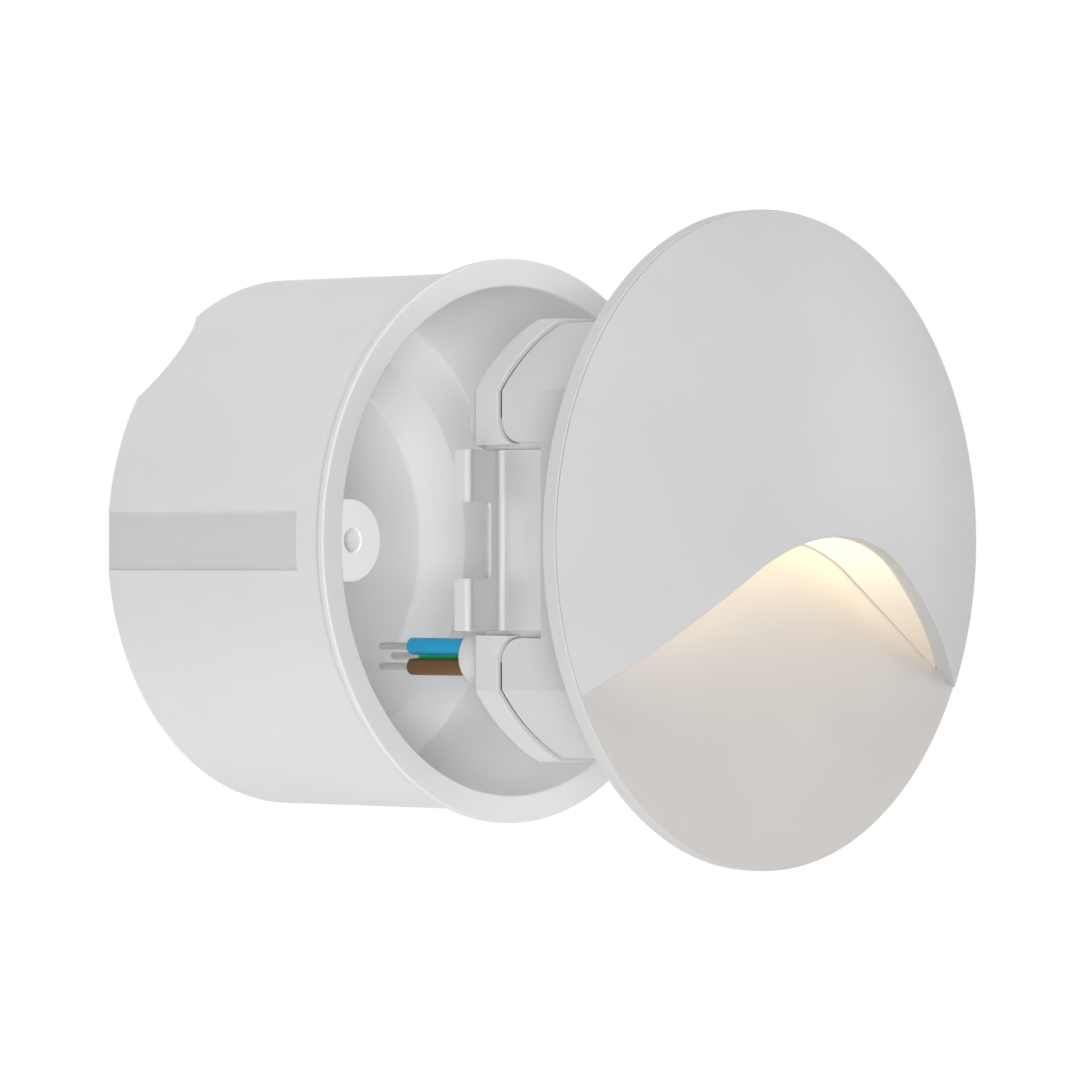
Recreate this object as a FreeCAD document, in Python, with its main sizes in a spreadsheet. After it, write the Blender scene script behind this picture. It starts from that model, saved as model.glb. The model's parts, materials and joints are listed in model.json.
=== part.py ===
import FreeCAD, Part
import os
import math
import Sketcher

# Round recessed step light, shown drawn out of its wall box.
# The origin lies on the common axis, in the wall plane behind the box's flange.
# +Y points into the wall, -Y is the side that is seen in use, +Z is up. Millimetres.

doc = FreeCAD.newDocument("StepLight")
sheet = doc.addObject("Spreadsheet::Sheet", "Sizes")

DRIVING = {
    # wall box
    "box_radius": 33.8,
    "box_depth": 37.9,
    "box_wall": 1.9,
    "box_draft": 0.6,
    "flange_overhang": 1.55,
    "flange_thickness": 1.0,
    "ledge_depth": 30.0,
    "ledge_fall": 1.0,
    "ledge_wall": 2.0,
    "ledge_width": 5.7,
    "well_draft": 3.0,
    "well_wall": 1.8,
    "box_floor": 1.6,
    "skirt_wall": 1.9,
    "box_edge": 0.3,
    "lug_spacing": 60.0,
    "lug_radius": 5.0,
    "lug_depth": 5.0,
    "lug_hole_radius": 1.45,
    "channel_half_height": 3.65,
    "channel_depth": 0.5,
    "duct_radius": 11.8,
    "duct_bite": 2.9,
    "duct_angle": 45.0,
    "knockout_radius": 10.0,
    "knockout_groove_width": 0.8,
    "knockout_groove_depth": 0.8,
    # how far the light stands out of the box, and the gap that is left when it is home
    "lamp_travel": 39.3,
    "seat_gap": 0.3,
    # disc and drum
    "disc_radius": 40.0,
    "disc_thickness": 2.0,
    "disc_edge": 0.2,
    "drum_radius": 29.0,
    "drum_side_cut": 6.3,
    "drum_top_cut": 2.4,
    "drum_length": 21.8,
    "drum_wall": 1.8,
    "drum_floor": 3.6,
    "notch_half_height": 11.8,
    "notch_length": 6.3,
    "notch_depth": 1.3,
    "notch_corner": 3.0,
    # hood and its bell-shaped opening
    "dome_height": 10.4,
    "hood_wall": 2.0,
    "hood_inset": 0.1,
    "hood_edge": 0.2,
    "bell_top": 0.15,
    "bell_radius": 25.5,
    "bell_angle": 34.3,
    "lip_gap": 0.2,
    "diffuser_wall": 1.6,
    "diffuser_gap": 0.05,
    "gasket_strip": 0.3,
    # light source
    "led_board_length": 36.0,
    "led_board_height": 9.0,
    "led_board_thickness": 1.0,
    "led_board_gap": 0.6,
    "led_pad_thickness": 0.5,
    "led_count": 6.0,
    "led_pitch": 4.4,
    "led_width": 2.8,
    "led_height": 3.5,
    "led_thickness": 0.7,
    "led_screw_x": 15.0,
    "lead_radius": 0.6,
    "lead_pitch": 3.0,
    # driver
    "driver_side_gap": 1.1,
    "driver_boss_gap": 0.8,
    "driver_corner": 3.0,
    "driver_rim": 2.0,
    "driver_part_gap": 1.5,
    "driver_thickness": 1.6,
    "driver_space": 2.8,
    "driver_post_inset": 3.0,
    "driver_post_radius": 2.4,
    "transformer_width": 14.0,
    "transformer_height": 12.0,
    "transformer_depth": 11.0,
    "capacitor_radius": 4.0,
    "capacitor_length": 12.0,
    "film_width": 10.5,
    "film_height": 4.6,
    "film_depth": 9.5,
    "rectifier_width": 6.4,
    "rectifier_height": 5.2,
    "rectifier_depth": 2.4,
    # rear cap
    "cap_step": 0.55,
    "cap_length": 3.8,
    "cap_floor": 1.8,
    "cap_wall": 1.3,
    "cap_edge": 0.5,
    "seam": 0.3,
    "spigot_length": 2.0,
    "spigot_gap": 0.1,
    "tongue_reach": 2.0,
    "boss_radius": 2.4,
    "drum_boss_radius": 2.9,
    "cap_screw_inset": 4.55,
    "cap_screw_angle": 60.0,
    # screws
    "screw_radius": 1.2,
    "screw_head_radius": 2.1,
    "screw_head_height": 1.5,
    "screw_gap": 0.05,
    "screw_bite": 4.0,
    "hood_screw_side": 3.6,
    "hood_screw_drop": 7.8,
    "hood_screw_crown": 3.0,
    # cable entries and cable
    "entry_side_inset": 5.1,
    "entry_top_inset": 12.35,
    "sheath_radius": 3.2,
    "entry_gap": 0.1,
    "plug_stand": 3.1,
    "sheath_stand": 4.9,
    "entry_reach": 1.9,
    "core_radius": 1.05,
    "core_circle": 1.45,
    "core_stand": 9.85,
    "wire_radius": 0.45,
    "wire_stand": 5.15,
    "wire_gap": 0.03,
    # spring clips
    "clip_thickness": 0.5,
    "clip_half_height": 10.95,
    "clip_tuck": 1.0,
    "clip_slot_gap": 0.05,
    "clip_bend": 1.0,
    "clip_arm": 6.0,
    "clip_lip": 2.5,
    "clip_lip_bend": 0.4,
    "fork_half_height": 4.6,
    "fork_start": 2.1,
}

for row, (alias, number) in enumerate(DRIVING.items(), start=1):
    sheet.set(f"A{row}", alias)
    sheet.set(f"B{row}", str(number))
    sheet.setAlias(f"B{row}", alias)
doc.recompute()


class Size:
    """A number together with the spreadsheet formula that gives it."""

    def __init__(self, value, formula):
        self.value = float(value)
        self.formula = formula

    def __add__(self, other):
        other = as_size(other)
        return Size(self.value + other.value, f"({self.formula} + {other.formula})")

    def __sub__(self, other):
        other = as_size(other)
        return Size(self.value - other.value, f"({self.formula} - {other.formula})")

    def __mul__(self, other):
        other = as_size(other)
        return Size(self.value * other.value, f"({self.formula} * {other.formula})")

    def __truediv__(self, other):
        other = as_size(other)
        return Size(self.value / other.value, f"({self.formula} / {other.formula})")

    def __neg__(self):
        return Size(-self.value, f"(-1 * {self.formula})")


def as_size(number):
    return number if isinstance(number, Size) else Size(number, repr(float(number)))


def of(alias):
    return Size(sheet.get(alias), f"Sizes.{alias}")


def root(size):
    return Size(math.sqrt(size.value), f"sqrt({size.formula})")


def sine(angle):
    return Size(math.sin(math.radians(angle.value)), f"sin({angle.formula})")


def cosine(angle):
    return Size(math.cos(math.radians(angle.value)), f"cos({angle.formula})")


def leg(hypotenuse, other_leg):
    """The third side of a right-angled triangle."""
    return root(hypotenuse * hypotenuse - other_leg * other_leg)


def bind(thing, property_name, size):
    thing.setExpression(property_name, as_size(size).formula)


ZERO = as_size(0)

# ---------------------------------------------------------------- sketches and features

pockets = []


def new_body(label):
    body = doc.addObject("PartDesign::Body", label)
    body.Label = label
    return body


def sketch_on(body, role, offset=None):
    """A sketch on one of the body's own origin planes, moved along the plane's normal."""
    sketch = body.newObject("Sketcher::SketchObject", body.Name + "_sketch")
    plane = [item for item in body.Origin.OriginFeatures if item.Role == role][0]
    sketch.AttachmentSupport = [(plane, "")]
    sketch.MapMode = "FlatFace"
    if offset is not None:
        bind(sketch, "AttachmentOffset.Base.z", offset)
    return sketch


def sketch_at(body, y):
    """A sketch across the lamp's axis at height y, its x along X and its y along Z."""
    return sketch_on(body, "XZ_Plane", -as_size(y))


def hold_point(sketch, geometry, end, x, y):
    for kind, size in (("DistanceX", as_size(x)), ("DistanceY", as_size(y))):
        number = sketch.addConstraint(Sketcher.Constraint(kind, -1, 1, geometry, end, size.value))
        sketch.setExpression(f"Constraints[{number}]", size.formula)


def hold_radius(sketch, geometry, radius):
    number = sketch.addConstraint(Sketcher.Constraint("Radius", geometry, radius.value))
    sketch.setExpression(f"Constraints[{number}]", radius.formula)


def circle(sketch, x, y, radius):
    x, y, radius = as_size(x), as_size(y), as_size(radius)
    centre = FreeCAD.Vector(x.value, y.value, 0)
    number = sketch.addGeometry(Part.Circle(centre, FreeCAD.Vector(0, 0, 1), radius.value), False)
    hold_point(sketch, number, 3, x, y)
    hold_radius(sketch, number, radius)


def hold_centre(sketch, geometry, a, b, x, y):
    """Fixes an arc between two held ends by the coordinate of its centre across the chord."""
    upright = abs(b.y - a.y) > abs(b.x - a.x)
    kind, size = ("DistanceX", as_size(x)) if upright else ("DistanceY", as_size(y))
    number = sketch.addConstraint(Sketcher.Constraint(kind, -1, 1, geometry, 3, size.value))
    sketch.setExpression(f"Constraints[{number}]", size.formula)


def outline(sketch, start, *steps):
    """A closed outline. A step is (x, y) for a straight line to that point, or
    (x, y, centre_x, centre_y, turn) for an arc, with turn 1 anticlockwise, -1 clockwise.
    The last step ends where the outline starts."""
    here = start
    edges = []
    for step in steps:
        a = FreeCAD.Vector(as_size(here[0]).value, as_size(here[1]).value, 0)
        b = FreeCAD.Vector(as_size(step[0]).value, as_size(step[1]).value, 0)
        if len(step) == 2:
            number = sketch.addGeometry(Part.LineSegment(a, b), False)
            edges.append((number, 1, 2, here))
        else:
            centre = FreeCAD.Vector(as_size(step[2]).value, as_size(step[3]).value, 0)
            anticlockwise = step[4] > 0
            low_point, high_point = (a, b) if anticlockwise else (b, a)
            low = math.atan2(low_point.y - centre.y, low_point.x - centre.x)
            high = math.atan2(high_point.y - centre.y, high_point.x - centre.x)
            if high < low:
                high = high + 2 * math.pi
            ring = Part.Circle(centre, FreeCAD.Vector(0, 0, 1), (a - centre).Length)
            number = sketch.addGeometry(Part.ArcOfCircle(ring, low, high), False)
            head, tail = (1, 2) if anticlockwise else (2, 1)
            edges.append((number, head, tail, here))
        here = step
    for index, (number, head, tail, point) in enumerate(edges):
        after = edges[(index + 1) % len(edges)]
        sketch.addConstraint(Sketcher.Constraint("Coincident", number, tail, after[0], after[1]))
    for (number, head, tail, point), step in zip(edges, steps):
        hold_point(sketch, number, head, point[0], point[1])
        if len(step) > 2:
            a = FreeCAD.Vector(as_size(point[0]).value, as_size(point[1]).value, 0)
            b = FreeCAD.Vector(as_size(step[0]).value, as_size(step[1]).value, 0)
            hold_centre(sketch, number, a, b, step[2], step[3])


def rectangle(sketch, x_low, x_high, y_low, y_high):
    outline(sketch, (x_low, y_low), (x_high, y_low), (x_high, y_high), (x_low, y_high), (x_low, y_low))


def stadium(sketch, half_length, half_height, x, y):
    """A rectangle with half-round ends."""
    left = as_size(x) - half_length + half_height
    right = as_size(x) + half_length - half_height
    low = as_size(y) - half_height
    high = as_size(y) + half_height
    outline(sketch, (left, low), (right, low), (right, high, right, y, 1),
            (left, high), (left, low, left, y, 1))


def flatted(sketch, radius, half_width, half_height):
    """A circle cut by two upright and two level flats: the outline of drum and cap."""
    side = leg(radius, half_width)
    top = leg(radius, half_height)
    outline(sketch, (half_width, -side),
            (half_width, side),
            (top, half_height, 0, 0, 1),
            (-top, half_height),
            (-half_width, side, 0, 0, 1),
            (-half_width, -side),
            (-top, -half_height, 0, 0, 1),
            (top, -half_height),
            (half_width, -side, 0, 0, 1))


def pad(body, sketch, length, back=True):
    """Adds material, towards +Y for a sketch across the axis unless back is False."""
    feature = body.newObject("PartDesign::Pad", body.Name + "_pad")
    feature.Profile = sketch
    feature.Reversed = back
    bind(feature, "Length", length)
    return feature


def pocket(body, sketch, length, back=True):
    """Takes material away, towards +Y for a sketch across the axis unless back is False."""
    feature = body.newObject("PartDesign::Pocket", body.Name + "_pocket")
    feature.Profile = sketch
    feature.Reversed = not back
    bind(feature, "Length", length)
    pockets.append(feature)
    return feature


def bevelled(body, feature, y, size):
    """Bevels the rim of the feature's flat face that lies across the axis at y."""
    doc.recompute()
    for number, face in enumerate(feature.Shape.Faces, start=1):
        extent = face.BoundBox
        if extent.YLength < 1e-6 and abs(extent.YMin - y.value) < 1e-6:
            bevel = body.newObject("PartDesign::Chamfer", body.Name + "_bevel")
            bevel.Base = (feature, [f"Face{number}"])
            bind(bevel, "Size", size)
            return bevel
    raise RuntimeError(f"{feature.Name} has no face at {y.value}")


def turned(body, start, *steps):
    """A solid of revolution about the lamp's axis, drawn as (radius, y)."""
    sketch = sketch_on(body, "XY_Plane")
    outline(sketch, start, *steps)
    feature = body.newObject("PartDesign::Revolution", body.Name + "_turned")
    feature.Profile = sketch
    feature.ReferenceAxis = (sketch, ["V_Axis"])
    return feature


def prism(label, y, length, draw):
    """A piece made by one pad, from y towards +Y. draw puts the outline in the sketch."""
    body = new_body(label)
    sketch = sketch_at(body, y)
    draw(sketch)
    pad(body, sketch, length)
    return body


# ---------------------------------------------------------------- planes along the axis

disc_rear = -(of("flange_thickness") + of("seat_gap") + of("lamp_travel"))
disc_front = disc_rear - of("disc_thickness")
floor_inside = disc_front + of("drum_floor")
drum_end = disc_rear + of("drum_length")
cap_front = drum_end + of("seam")
cap_rear = cap_front + of("cap_length")
cap_inside = cap_rear - of("cap_floor")
boss_end = drum_end - of("spigot_length")
driver_rear = drum_end - of("driver_space")
driver_front = driver_rear - of("driver_thickness")
entry_inside = cap_inside - of("entry_reach")
sheath_end = cap_rear + of("sheath_stand")
core_end = sheath_end + of("core_stand")
wire_end = core_end + of("wire_stand")

# ---------------------------------------------------------------- places across the axis

drum_half_width = of("drum_radius") - of("drum_side_cut")
drum_half_height = of("drum_radius") - of("drum_top_cut")
notch_floor = drum_half_width - of("notch_depth")
cavity = (of("drum_radius") - of("drum_wall"),
          notch_floor - of("drum_wall"),
          drum_half_height - of("drum_wall"))

cap_screw_reach = of("drum_radius") - of("cap_screw_inset")
cap_screw_x = cap_screw_reach * cosine(of("cap_screw_angle"))
cap_screw_z = cap_screw_reach * sine(of("cap_screw_angle"))
hood_screw_x = cavity[1] - of("hood_screw_side")
hood_screw_z = cavity[2] - of("hood_screw_drop")
hood_screw_top = cavity[2] - of("hood_screw_crown")

led_board_z = (hood_screw_z - of("boss_radius") - of("led_board_gap")
               - of("led_board_height") / 2)
driver_half_width = cavity[1] - of("driver_side_gap")
driver_half_height = cap_screw_z - of("drum_boss_radius") - of("driver_boss_gap")
driver_post_x = driver_half_width - of("driver_post_inset")
entry_x = drum_half_width - of("entry_side_inset")
entry_z = drum_half_height - of("entry_top_inset")

# ---------------------------------------------------------------- wall box


def mounting_box():
    body = new_body("mounting_box")
    edge = of("box_edge")
    outer = of("box_radius")
    depth = of("box_depth")
    flange = outer + of("flange_overhang")
    mouth = outer - of("box_wall")
    ledge_radius = mouth - of("box_draft")
    well_mouth = ledge_radius - of("ledge_width")
    ledge_inner = of("ledge_depth") + of("ledge_fall")
    well_floor_radius = well_mouth - of("well_draft")
    floor_inner = depth - of("box_floor")
    skirt_inner = outer - of("skirt_wall")
    well_outer = well_mouth + of("well_wall")
    groove_inner = of("knockout_radius")
    groove_outer = groove_inner + of("knockout_groove_width")
    groove_floor = depth - of("knockout_groove_depth")
    front = -of("flange_thickness")
    turned(body, (0, floor_inner), (well_floor_radius, floor_inner),
           (well_mouth, ledge_inner), (ledge_radius, of("ledge_depth")),
           (mouth, front + edge), (mouth + edge, front), (flange - edge, front),
           (flange, front + edge), (flange, 0), (outer, 0), (outer, depth - edge),
           (outer - edge, depth),
           (skirt_inner, depth), (skirt_inner, of("ledge_depth") + of("ledge_wall")),
           (well_outer, ledge_inner + of("ledge_wall")),
           (well_floor_radius + of("well_wall"), depth),
           (groove_outer, depth), (groove_outer, groove_floor), (groove_inner, groove_floor),
           (groove_inner, depth), (0, depth), (0, floor_inner))
    lug_x = of("lug_spacing") / 2
    inside_wall = mouth + edge * 2
    lugs = sketch_at(body, front)
    for side in (1, -1):
        outline(lugs, (lug_x * side, -of("lug_radius") * side),
                (inside_wall * side, -of("lug_radius") * side),
                (inside_wall * side, of("lug_radius") * side),
                (lug_x * side, of("lug_radius") * side),
                (lug_x * side, -of("lug_radius") * side, lug_x * side, 0, 1))
    pad(body, lugs, of("lug_depth") + of("flange_thickness"))
    holes = sketch_at(body, front)
    for side in (1, -1):
        circle(holes, lug_x * side, 0, of("lug_hole_radius"))
    pocket(body, holes, of("lug_depth") + of("flange_thickness"))
    channels = sketch_at(body, of("lug_depth"))
    inner_face = outer - of("channel_depth")
    half = of("channel_half_height")
    rectangle(channels, inner_face, flange, -half, half)
    rectangle(channels, -flange, -inner_face, -half, half)
    pocket(body, channels, depth - of("lug_depth"))
    # the conduit cut-out: a round bite in the rear edge, up and to the left
    cutter = doc.addObject("Part::Cylinder", "duct_cutter")
    bind(cutter, "Radius", of("duct_radius"))
    cutter_start = well_outer + of("skirt_wall") / 2
    bind(cutter, "Height", flange - cutter_start)
    angle = -of("duct_angle")
    bind(cutter, "Placement.Base.x", cutter_start * sine(angle))
    bind(cutter, "Placement.Base.y", depth + of("duct_radius") - of("duct_bite"))
    bind(cutter, "Placement.Base.z", cutter_start * cosine(angle))
    cutter.Placement.Rotation = FreeCAD.Rotation(FreeCAD.Vector(0, 1, 0), angle.value)
    bind(cutter, "Placement.Rotation.Angle", angle)
    body.Label = "mounting_box_moulding"
    box = doc.addObject("Part::Cut", "mounting_box_cut")
    box.Base = body
    box.Tool = cutter
    box.Label = "mounting_box"
    return box


# ---------------------------------------------------------------- front housing


def bell(sketch, offset, below):
    """The region below, or above, the bell-shaped line of the hood's opening.
    offset moves the line up, away from the opening."""
    radius = of("bell_radius") + offset
    middle = of("bell_top") - of("bell_radius")
    turn_x = radius * sine(of("bell_angle"))
    turn_z = middle + radius * cosine(of("bell_angle"))
    far = of("disc_radius") + of("disc_thickness")
    slope = sine(of("bell_angle")) / cosine(of("bell_angle"))
    far_z = turn_z - (far - turn_x) * slope
    limit = -far if below else far
    outline(sketch, (-far, limit), (far, limit), (far, far_z), (turn_x, turn_z),
            (-turn_x, turn_z, 0, middle, 1), (-far, far_z), (-far, limit))


def hood_screw_points():
    return [(hood_screw_x, hood_screw_z), (-hood_screw_x, hood_screw_z),
            (ZERO, hood_screw_top)]


def cap_screw_points():
    x, z = cap_screw_x, cap_screw_z
    return [(x, z), (-x, z), (-x, -z), (x, -z)]


def driver_screw_points():
    return [(driver_post_x, ZERO), (-driver_post_x, ZERO)]


def led_screw_points():
    return [(of("led_screw_x"), led_board_z), (-of("led_screw_x"), led_board_z)]


def lead_points():
    half = of("lead_pitch") / 2
    return [(half, led_board_z), (-half, led_board_z)]


def circles(sketch, points, radius):
    for x, z in points:
        circle(sketch, x, z, radius)


def front_housing():
    body = new_body("front_housing")
    edge = of("disc_edge")
    turned(body, (0, disc_rear), (0, disc_front), (of("disc_radius") - edge, disc_front),
           (of("disc_radius"), disc_front + edge), (of("disc_radius"), disc_rear - edge),
           (of("disc_radius") - edge, disc_rear), (0, disc_rear))
    drum = sketch_at(body, disc_rear - of("disc_edge"))
    flatted(drum, of("drum_radius"), drum_half_width, drum_half_height)
    pad(body, drum, of("drum_length") + of("disc_edge"))
    hollow = sketch_at(body, floor_inside)
    flatted(hollow, *cavity)
    pocket(body, hollow, drum_end - floor_inside)
    # posts for the driver board and bosses for the cap screws
    posts = sketch_at(body, floor_inside)
    circles(posts, driver_screw_points(), of("driver_post_radius"))
    pad(body, posts, driver_front - floor_inside)
    bosses = sketch_at(body, floor_inside)
    circles(bosses, cap_screw_points(), of("drum_boss_radius"))
    pad(body, bosses, boss_end - floor_inside)
    bore = of("screw_radius") + of("screw_gap")
    post_bores = sketch_at(body, driver_front)
    circles(post_bores, driver_screw_points(), bore)
    pocket(body, post_bores, of("screw_bite"), back=False)
    boss_bores = sketch_at(body, boss_end)
    circles(boss_bores, cap_screw_points(), bore)
    pocket(body, boss_bores, of("screw_bite"), back=False)
    # the pocket of the light board in the front of the plate, and the holes through the floor
    well = sketch_at(body, disc_front)
    gap = of("screw_gap")
    stadium(well, of("led_board_length") / 2 + gap, of("led_board_height") / 2 + gap, 0,
            led_board_z)
    pocket(body, well, of("led_board_thickness") + of("led_pad_thickness"))
    through = sketch_at(body, disc_front)
    circles(through, hood_screw_points(), bore)
    circles(through, lead_points(), of("lead_radius") + gap)
    circles(through, led_screw_points(), bore)
    pocket(body, through, of("drum_floor"))
    # notches for the clips in both sides, with rounded mouths, and the slots they tuck into
    half = of("notch_half_height")
    corner = of("notch_corner")
    notch_start = drum_end - of("notch_length")
    for side in (1, -1):
        notch = sketch_on(body, "YZ_Plane", notch_floor * side)
        outline(notch, (notch_start, -half), (drum_end - corner, -half),
                (drum_end, -half - corner, drum_end - corner, -half - corner, -1),
                (drum_end + corner, -half - corner), (drum_end + corner, half + corner),
                (drum_end, half + corner),
                (drum_end - corner, half, drum_end - corner, half + corner, -1),
                (notch_start, half), (notch_start, -half))
        feature = pocket(body, notch, of("notch_depth") * 2)
        feature.Reversed = side > 0
        slot = sketch_at(body, notch_start)
        near = notch_floor * side
        far = (notch_floor + of("clip_thickness") + of("clip_slot_gap")) * side
        low, high = (near, far) if side > 0 else (far, near)
        slot_half = of("clip_half_height") + of("clip_slot_gap")
        rectangle(slot, low, high, -slot_half, slot_half)
        pocket(body, slot, of("clip_tuck") + of("clip_slot_gap"), back=False)
    return body


# ---------------------------------------------------------------- hood, diffuser and strip

hood_radius = of("disc_radius") - of("hood_inset")
cap_rise = of("dome_height") - of("hood_edge")
dome_radius = (hood_radius * hood_radius + cap_rise * cap_rise) / (cap_rise * 2)
dome_centre = disc_front - of("dome_height") + dome_radius
inner_dome = dome_radius - of("hood_wall")


def dome_reach(radius, y):
    """How far from the axis a sphere about the dome's centre meets the plane at y."""
    return leg(radius, dome_centre - y)


def hood():
    body = new_body("hood")
    inner_foot = dome_reach(inner_dome, disc_front)
    turned(body, (0, disc_front - of("dome_height")),
           (0, dome_centre - inner_dome),
           (inner_foot, disc_front, 0, dome_centre, 1),
           (hood_radius, disc_front),
           (hood_radius, disc_front - of("hood_edge")),
           (0, disc_front - of("dome_height"), 0, dome_centre, -1))
    bosses = sketch_at(body, disc_front)
    circles(bosses, hood_screw_points(), of("boss_radius"))
    middle_shell = dome_radius - of("hood_wall") / 2
    rise = disc_front - dome_centre + leg(middle_shell, hood_screw_top + of("boss_radius"))
    pad(body, bosses, rise, back=False)
    bores = sketch_at(body, disc_front)
    circles(bores, hood_screw_points(), of("screw_radius") + of("screw_gap"))
    pocket(body, bores, rise - of("screw_gap") * 4, back=False)
    mouth = sketch_at(body, disc_front)
    bell(mouth, of("lip_gap"), below=True)
    pocket(body, mouth, of("dome_height") * 2, back=False)
    return body


def wall_under_dome(label, y, radius, cut_depth):
    """A wall that follows the bell line, from the plane y forward to a sphere under the hood."""
    body = new_body(label)
    turned(body, (0, dome_centre - radius), (dome_reach(radius, y), y, 0, dome_centre, 1),
           (0, y), (0, dome_centre - radius))
    outside = sketch_at(body, y)
    bell(outside, ZERO, below=True)
    pocket(body, outside, cut_depth, back=False)
    inside = sketch_at(body, y)
    bell(inside, of("diffuser_wall"), below=False)
    pocket(body, inside, cut_depth, back=False)
    return body


def diffuser():
    return wall_under_dome("diffuser", disc_front - of("gasket_strip"),
                           inner_dome - of("diffuser_gap"), of("dome_height"))


def diffuser_gasket():
    body = new_body("diffuser_gasket")
    foot = dome_reach(inner_dome - of("diffuser_gap"), disc_front - of("gasket_strip"))
    strip = sketch_at(body, disc_front - of("gasket_strip"))
    circle(strip, 0, 0, foot)
    pad(body, strip, of("gasket_strip"))
    outside = sketch_at(body, disc_front)
    bell(outside, ZERO, below=True)
    pocket(body, outside, of("gasket_strip"), back=False)
    inside = sketch_at(body, disc_front)
    bell(inside, of("diffuser_wall"), below=False)
    pocket(body, inside, of("gasket_strip"), back=False)
    return body


# ---------------------------------------------------------------- light source


def board_holes(body, y, length):
    holes = sketch_at(body, y)
    circles(holes, led_screw_points(), of("screw_radius") + of("screw_gap"))
    circles(holes, lead_points(), of("lead_radius") + of("screw_gap"))
    pocket(body, holes, length)


def light_source():
    half_length = of("led_board_length") / 2
    half_height = of("led_board_height") / 2
    board_front = disc_front
    pad_front = board_front + of("led_board_thickness")

    def stadium_here(sketch):
        stadium(sketch, half_length, half_height, 0, led_board_z)

    board = prism("led_board", board_front, of("led_board_thickness"), stadium_here)
    board_holes(board, board_front, of("led_board_thickness"))
    cushion = prism("thermal_pad", pad_front, of("led_pad_thickness"), stadium_here)
    board_holes(cushion, pad_front, of("led_pad_thickness"))

    chips = new_body("led_chips")
    places = sketch_at(chips, board_front - of("led_thickness"))
    count = int(of("led_count").value)
    half_width = of("led_width") / 2
    half = of("led_height") / 2
    for index in range(count):
        x = of("led_pitch") * (index - (count - 1) / 2)
        rectangle(places, x - half_width, x + half_width,
                  led_board_z - half, led_board_z + half)
    pad(chips, places, of("led_thickness"))

    def leads(sketch):
        circles(sketch, lead_points(), of("lead_radius"))

    wires = prism("led_leads", board_front, driver_front - board_front, leads)
    return [board, cushion, chips, wires]


# ---------------------------------------------------------------- driver


def driver():
    half_width = driver_half_width
    half_height = driver_half_height
    corner = of("driver_corner")

    def board_outline(sketch):
        outline(sketch, (-half_width + corner, -half_height), (half_width - corner, -half_height),
                (half_width, -half_height + corner), (half_width, half_height - corner),
                (half_width - corner, half_height), (-half_width + corner, half_height),
                (-half_width, half_height - corner), (-half_width, -half_height + corner),
                (-half_width + corner, -half_height))

    board = prism("driver_board", driver_front, of("driver_thickness"), board_outline)
    holes = sketch_at(board, driver_front)
    circles(holes, driver_screw_points(), of("screw_radius") + of("screw_gap"))
    pocket(board, holes, of("driver_thickness"))

    def block(label, x, z, width, height, depth):
        def draw(sketch):
            rectangle(sketch, x - width / 2, x + width / 2, z - height / 2, z + height / 2)
        return prism(label, driver_front - depth, depth, draw)

    gap = of("driver_part_gap")
    can_x = half_width - of("driver_rim") - of("capacitor_radius")
    can_z = -(of("capacitor_radius") + gap * 4)
    transformer_x = can_x - of("capacitor_radius") - gap - of("transformer_width") / 2
    transformer_z = -(of("transformer_height") / 2 + gap * 2)
    transformer = block("driver_transformer", transformer_x, transformer_z,
                        of("transformer_width"), of("transformer_height"),
                        of("transformer_depth"))
    film_z = half_height - of("driver_rim") - of("film_height") / 2
    film = block("driver_film_capacitor", ZERO, film_z, of("film_width"), of("film_height"),
                 of("film_depth"))
    rectifier_x = (of("lead_pitch") / 2 + of("lead_radius") + gap
                   + of("rectifier_width") / 2)
    rectifier_z = of("rectifier_height") / 2 + gap * 2
    rectifier = block("driver_rectifier", rectifier_x, rectifier_z, of("rectifier_width"),
                      of("rectifier_height"), of("rectifier_depth"))

    def can(sketch):
        circle(sketch, can_x, can_z, of("capacitor_radius"))

    capacitor = prism("driver_capacitor", driver_front - of("capacitor_length"),
                      of("capacitor_length"), can)
    return [board, transformer, film, rectifier, capacitor]


# ---------------------------------------------------------------- rear cap and its seal


def cap_gasket():
    body = new_body("cap_gasket")
    ring = sketch_at(body, drum_end)
    inset = of("drum_wall") / 4
    flatted(ring, of("drum_radius") - inset, notch_floor - inset, drum_half_height - inset)
    pad(body, ring, of("seam"))
    middle = sketch_at(body, drum_end)
    flatted(middle, *cavity)
    pocket(body, middle, of("seam"))
    return body


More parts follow.
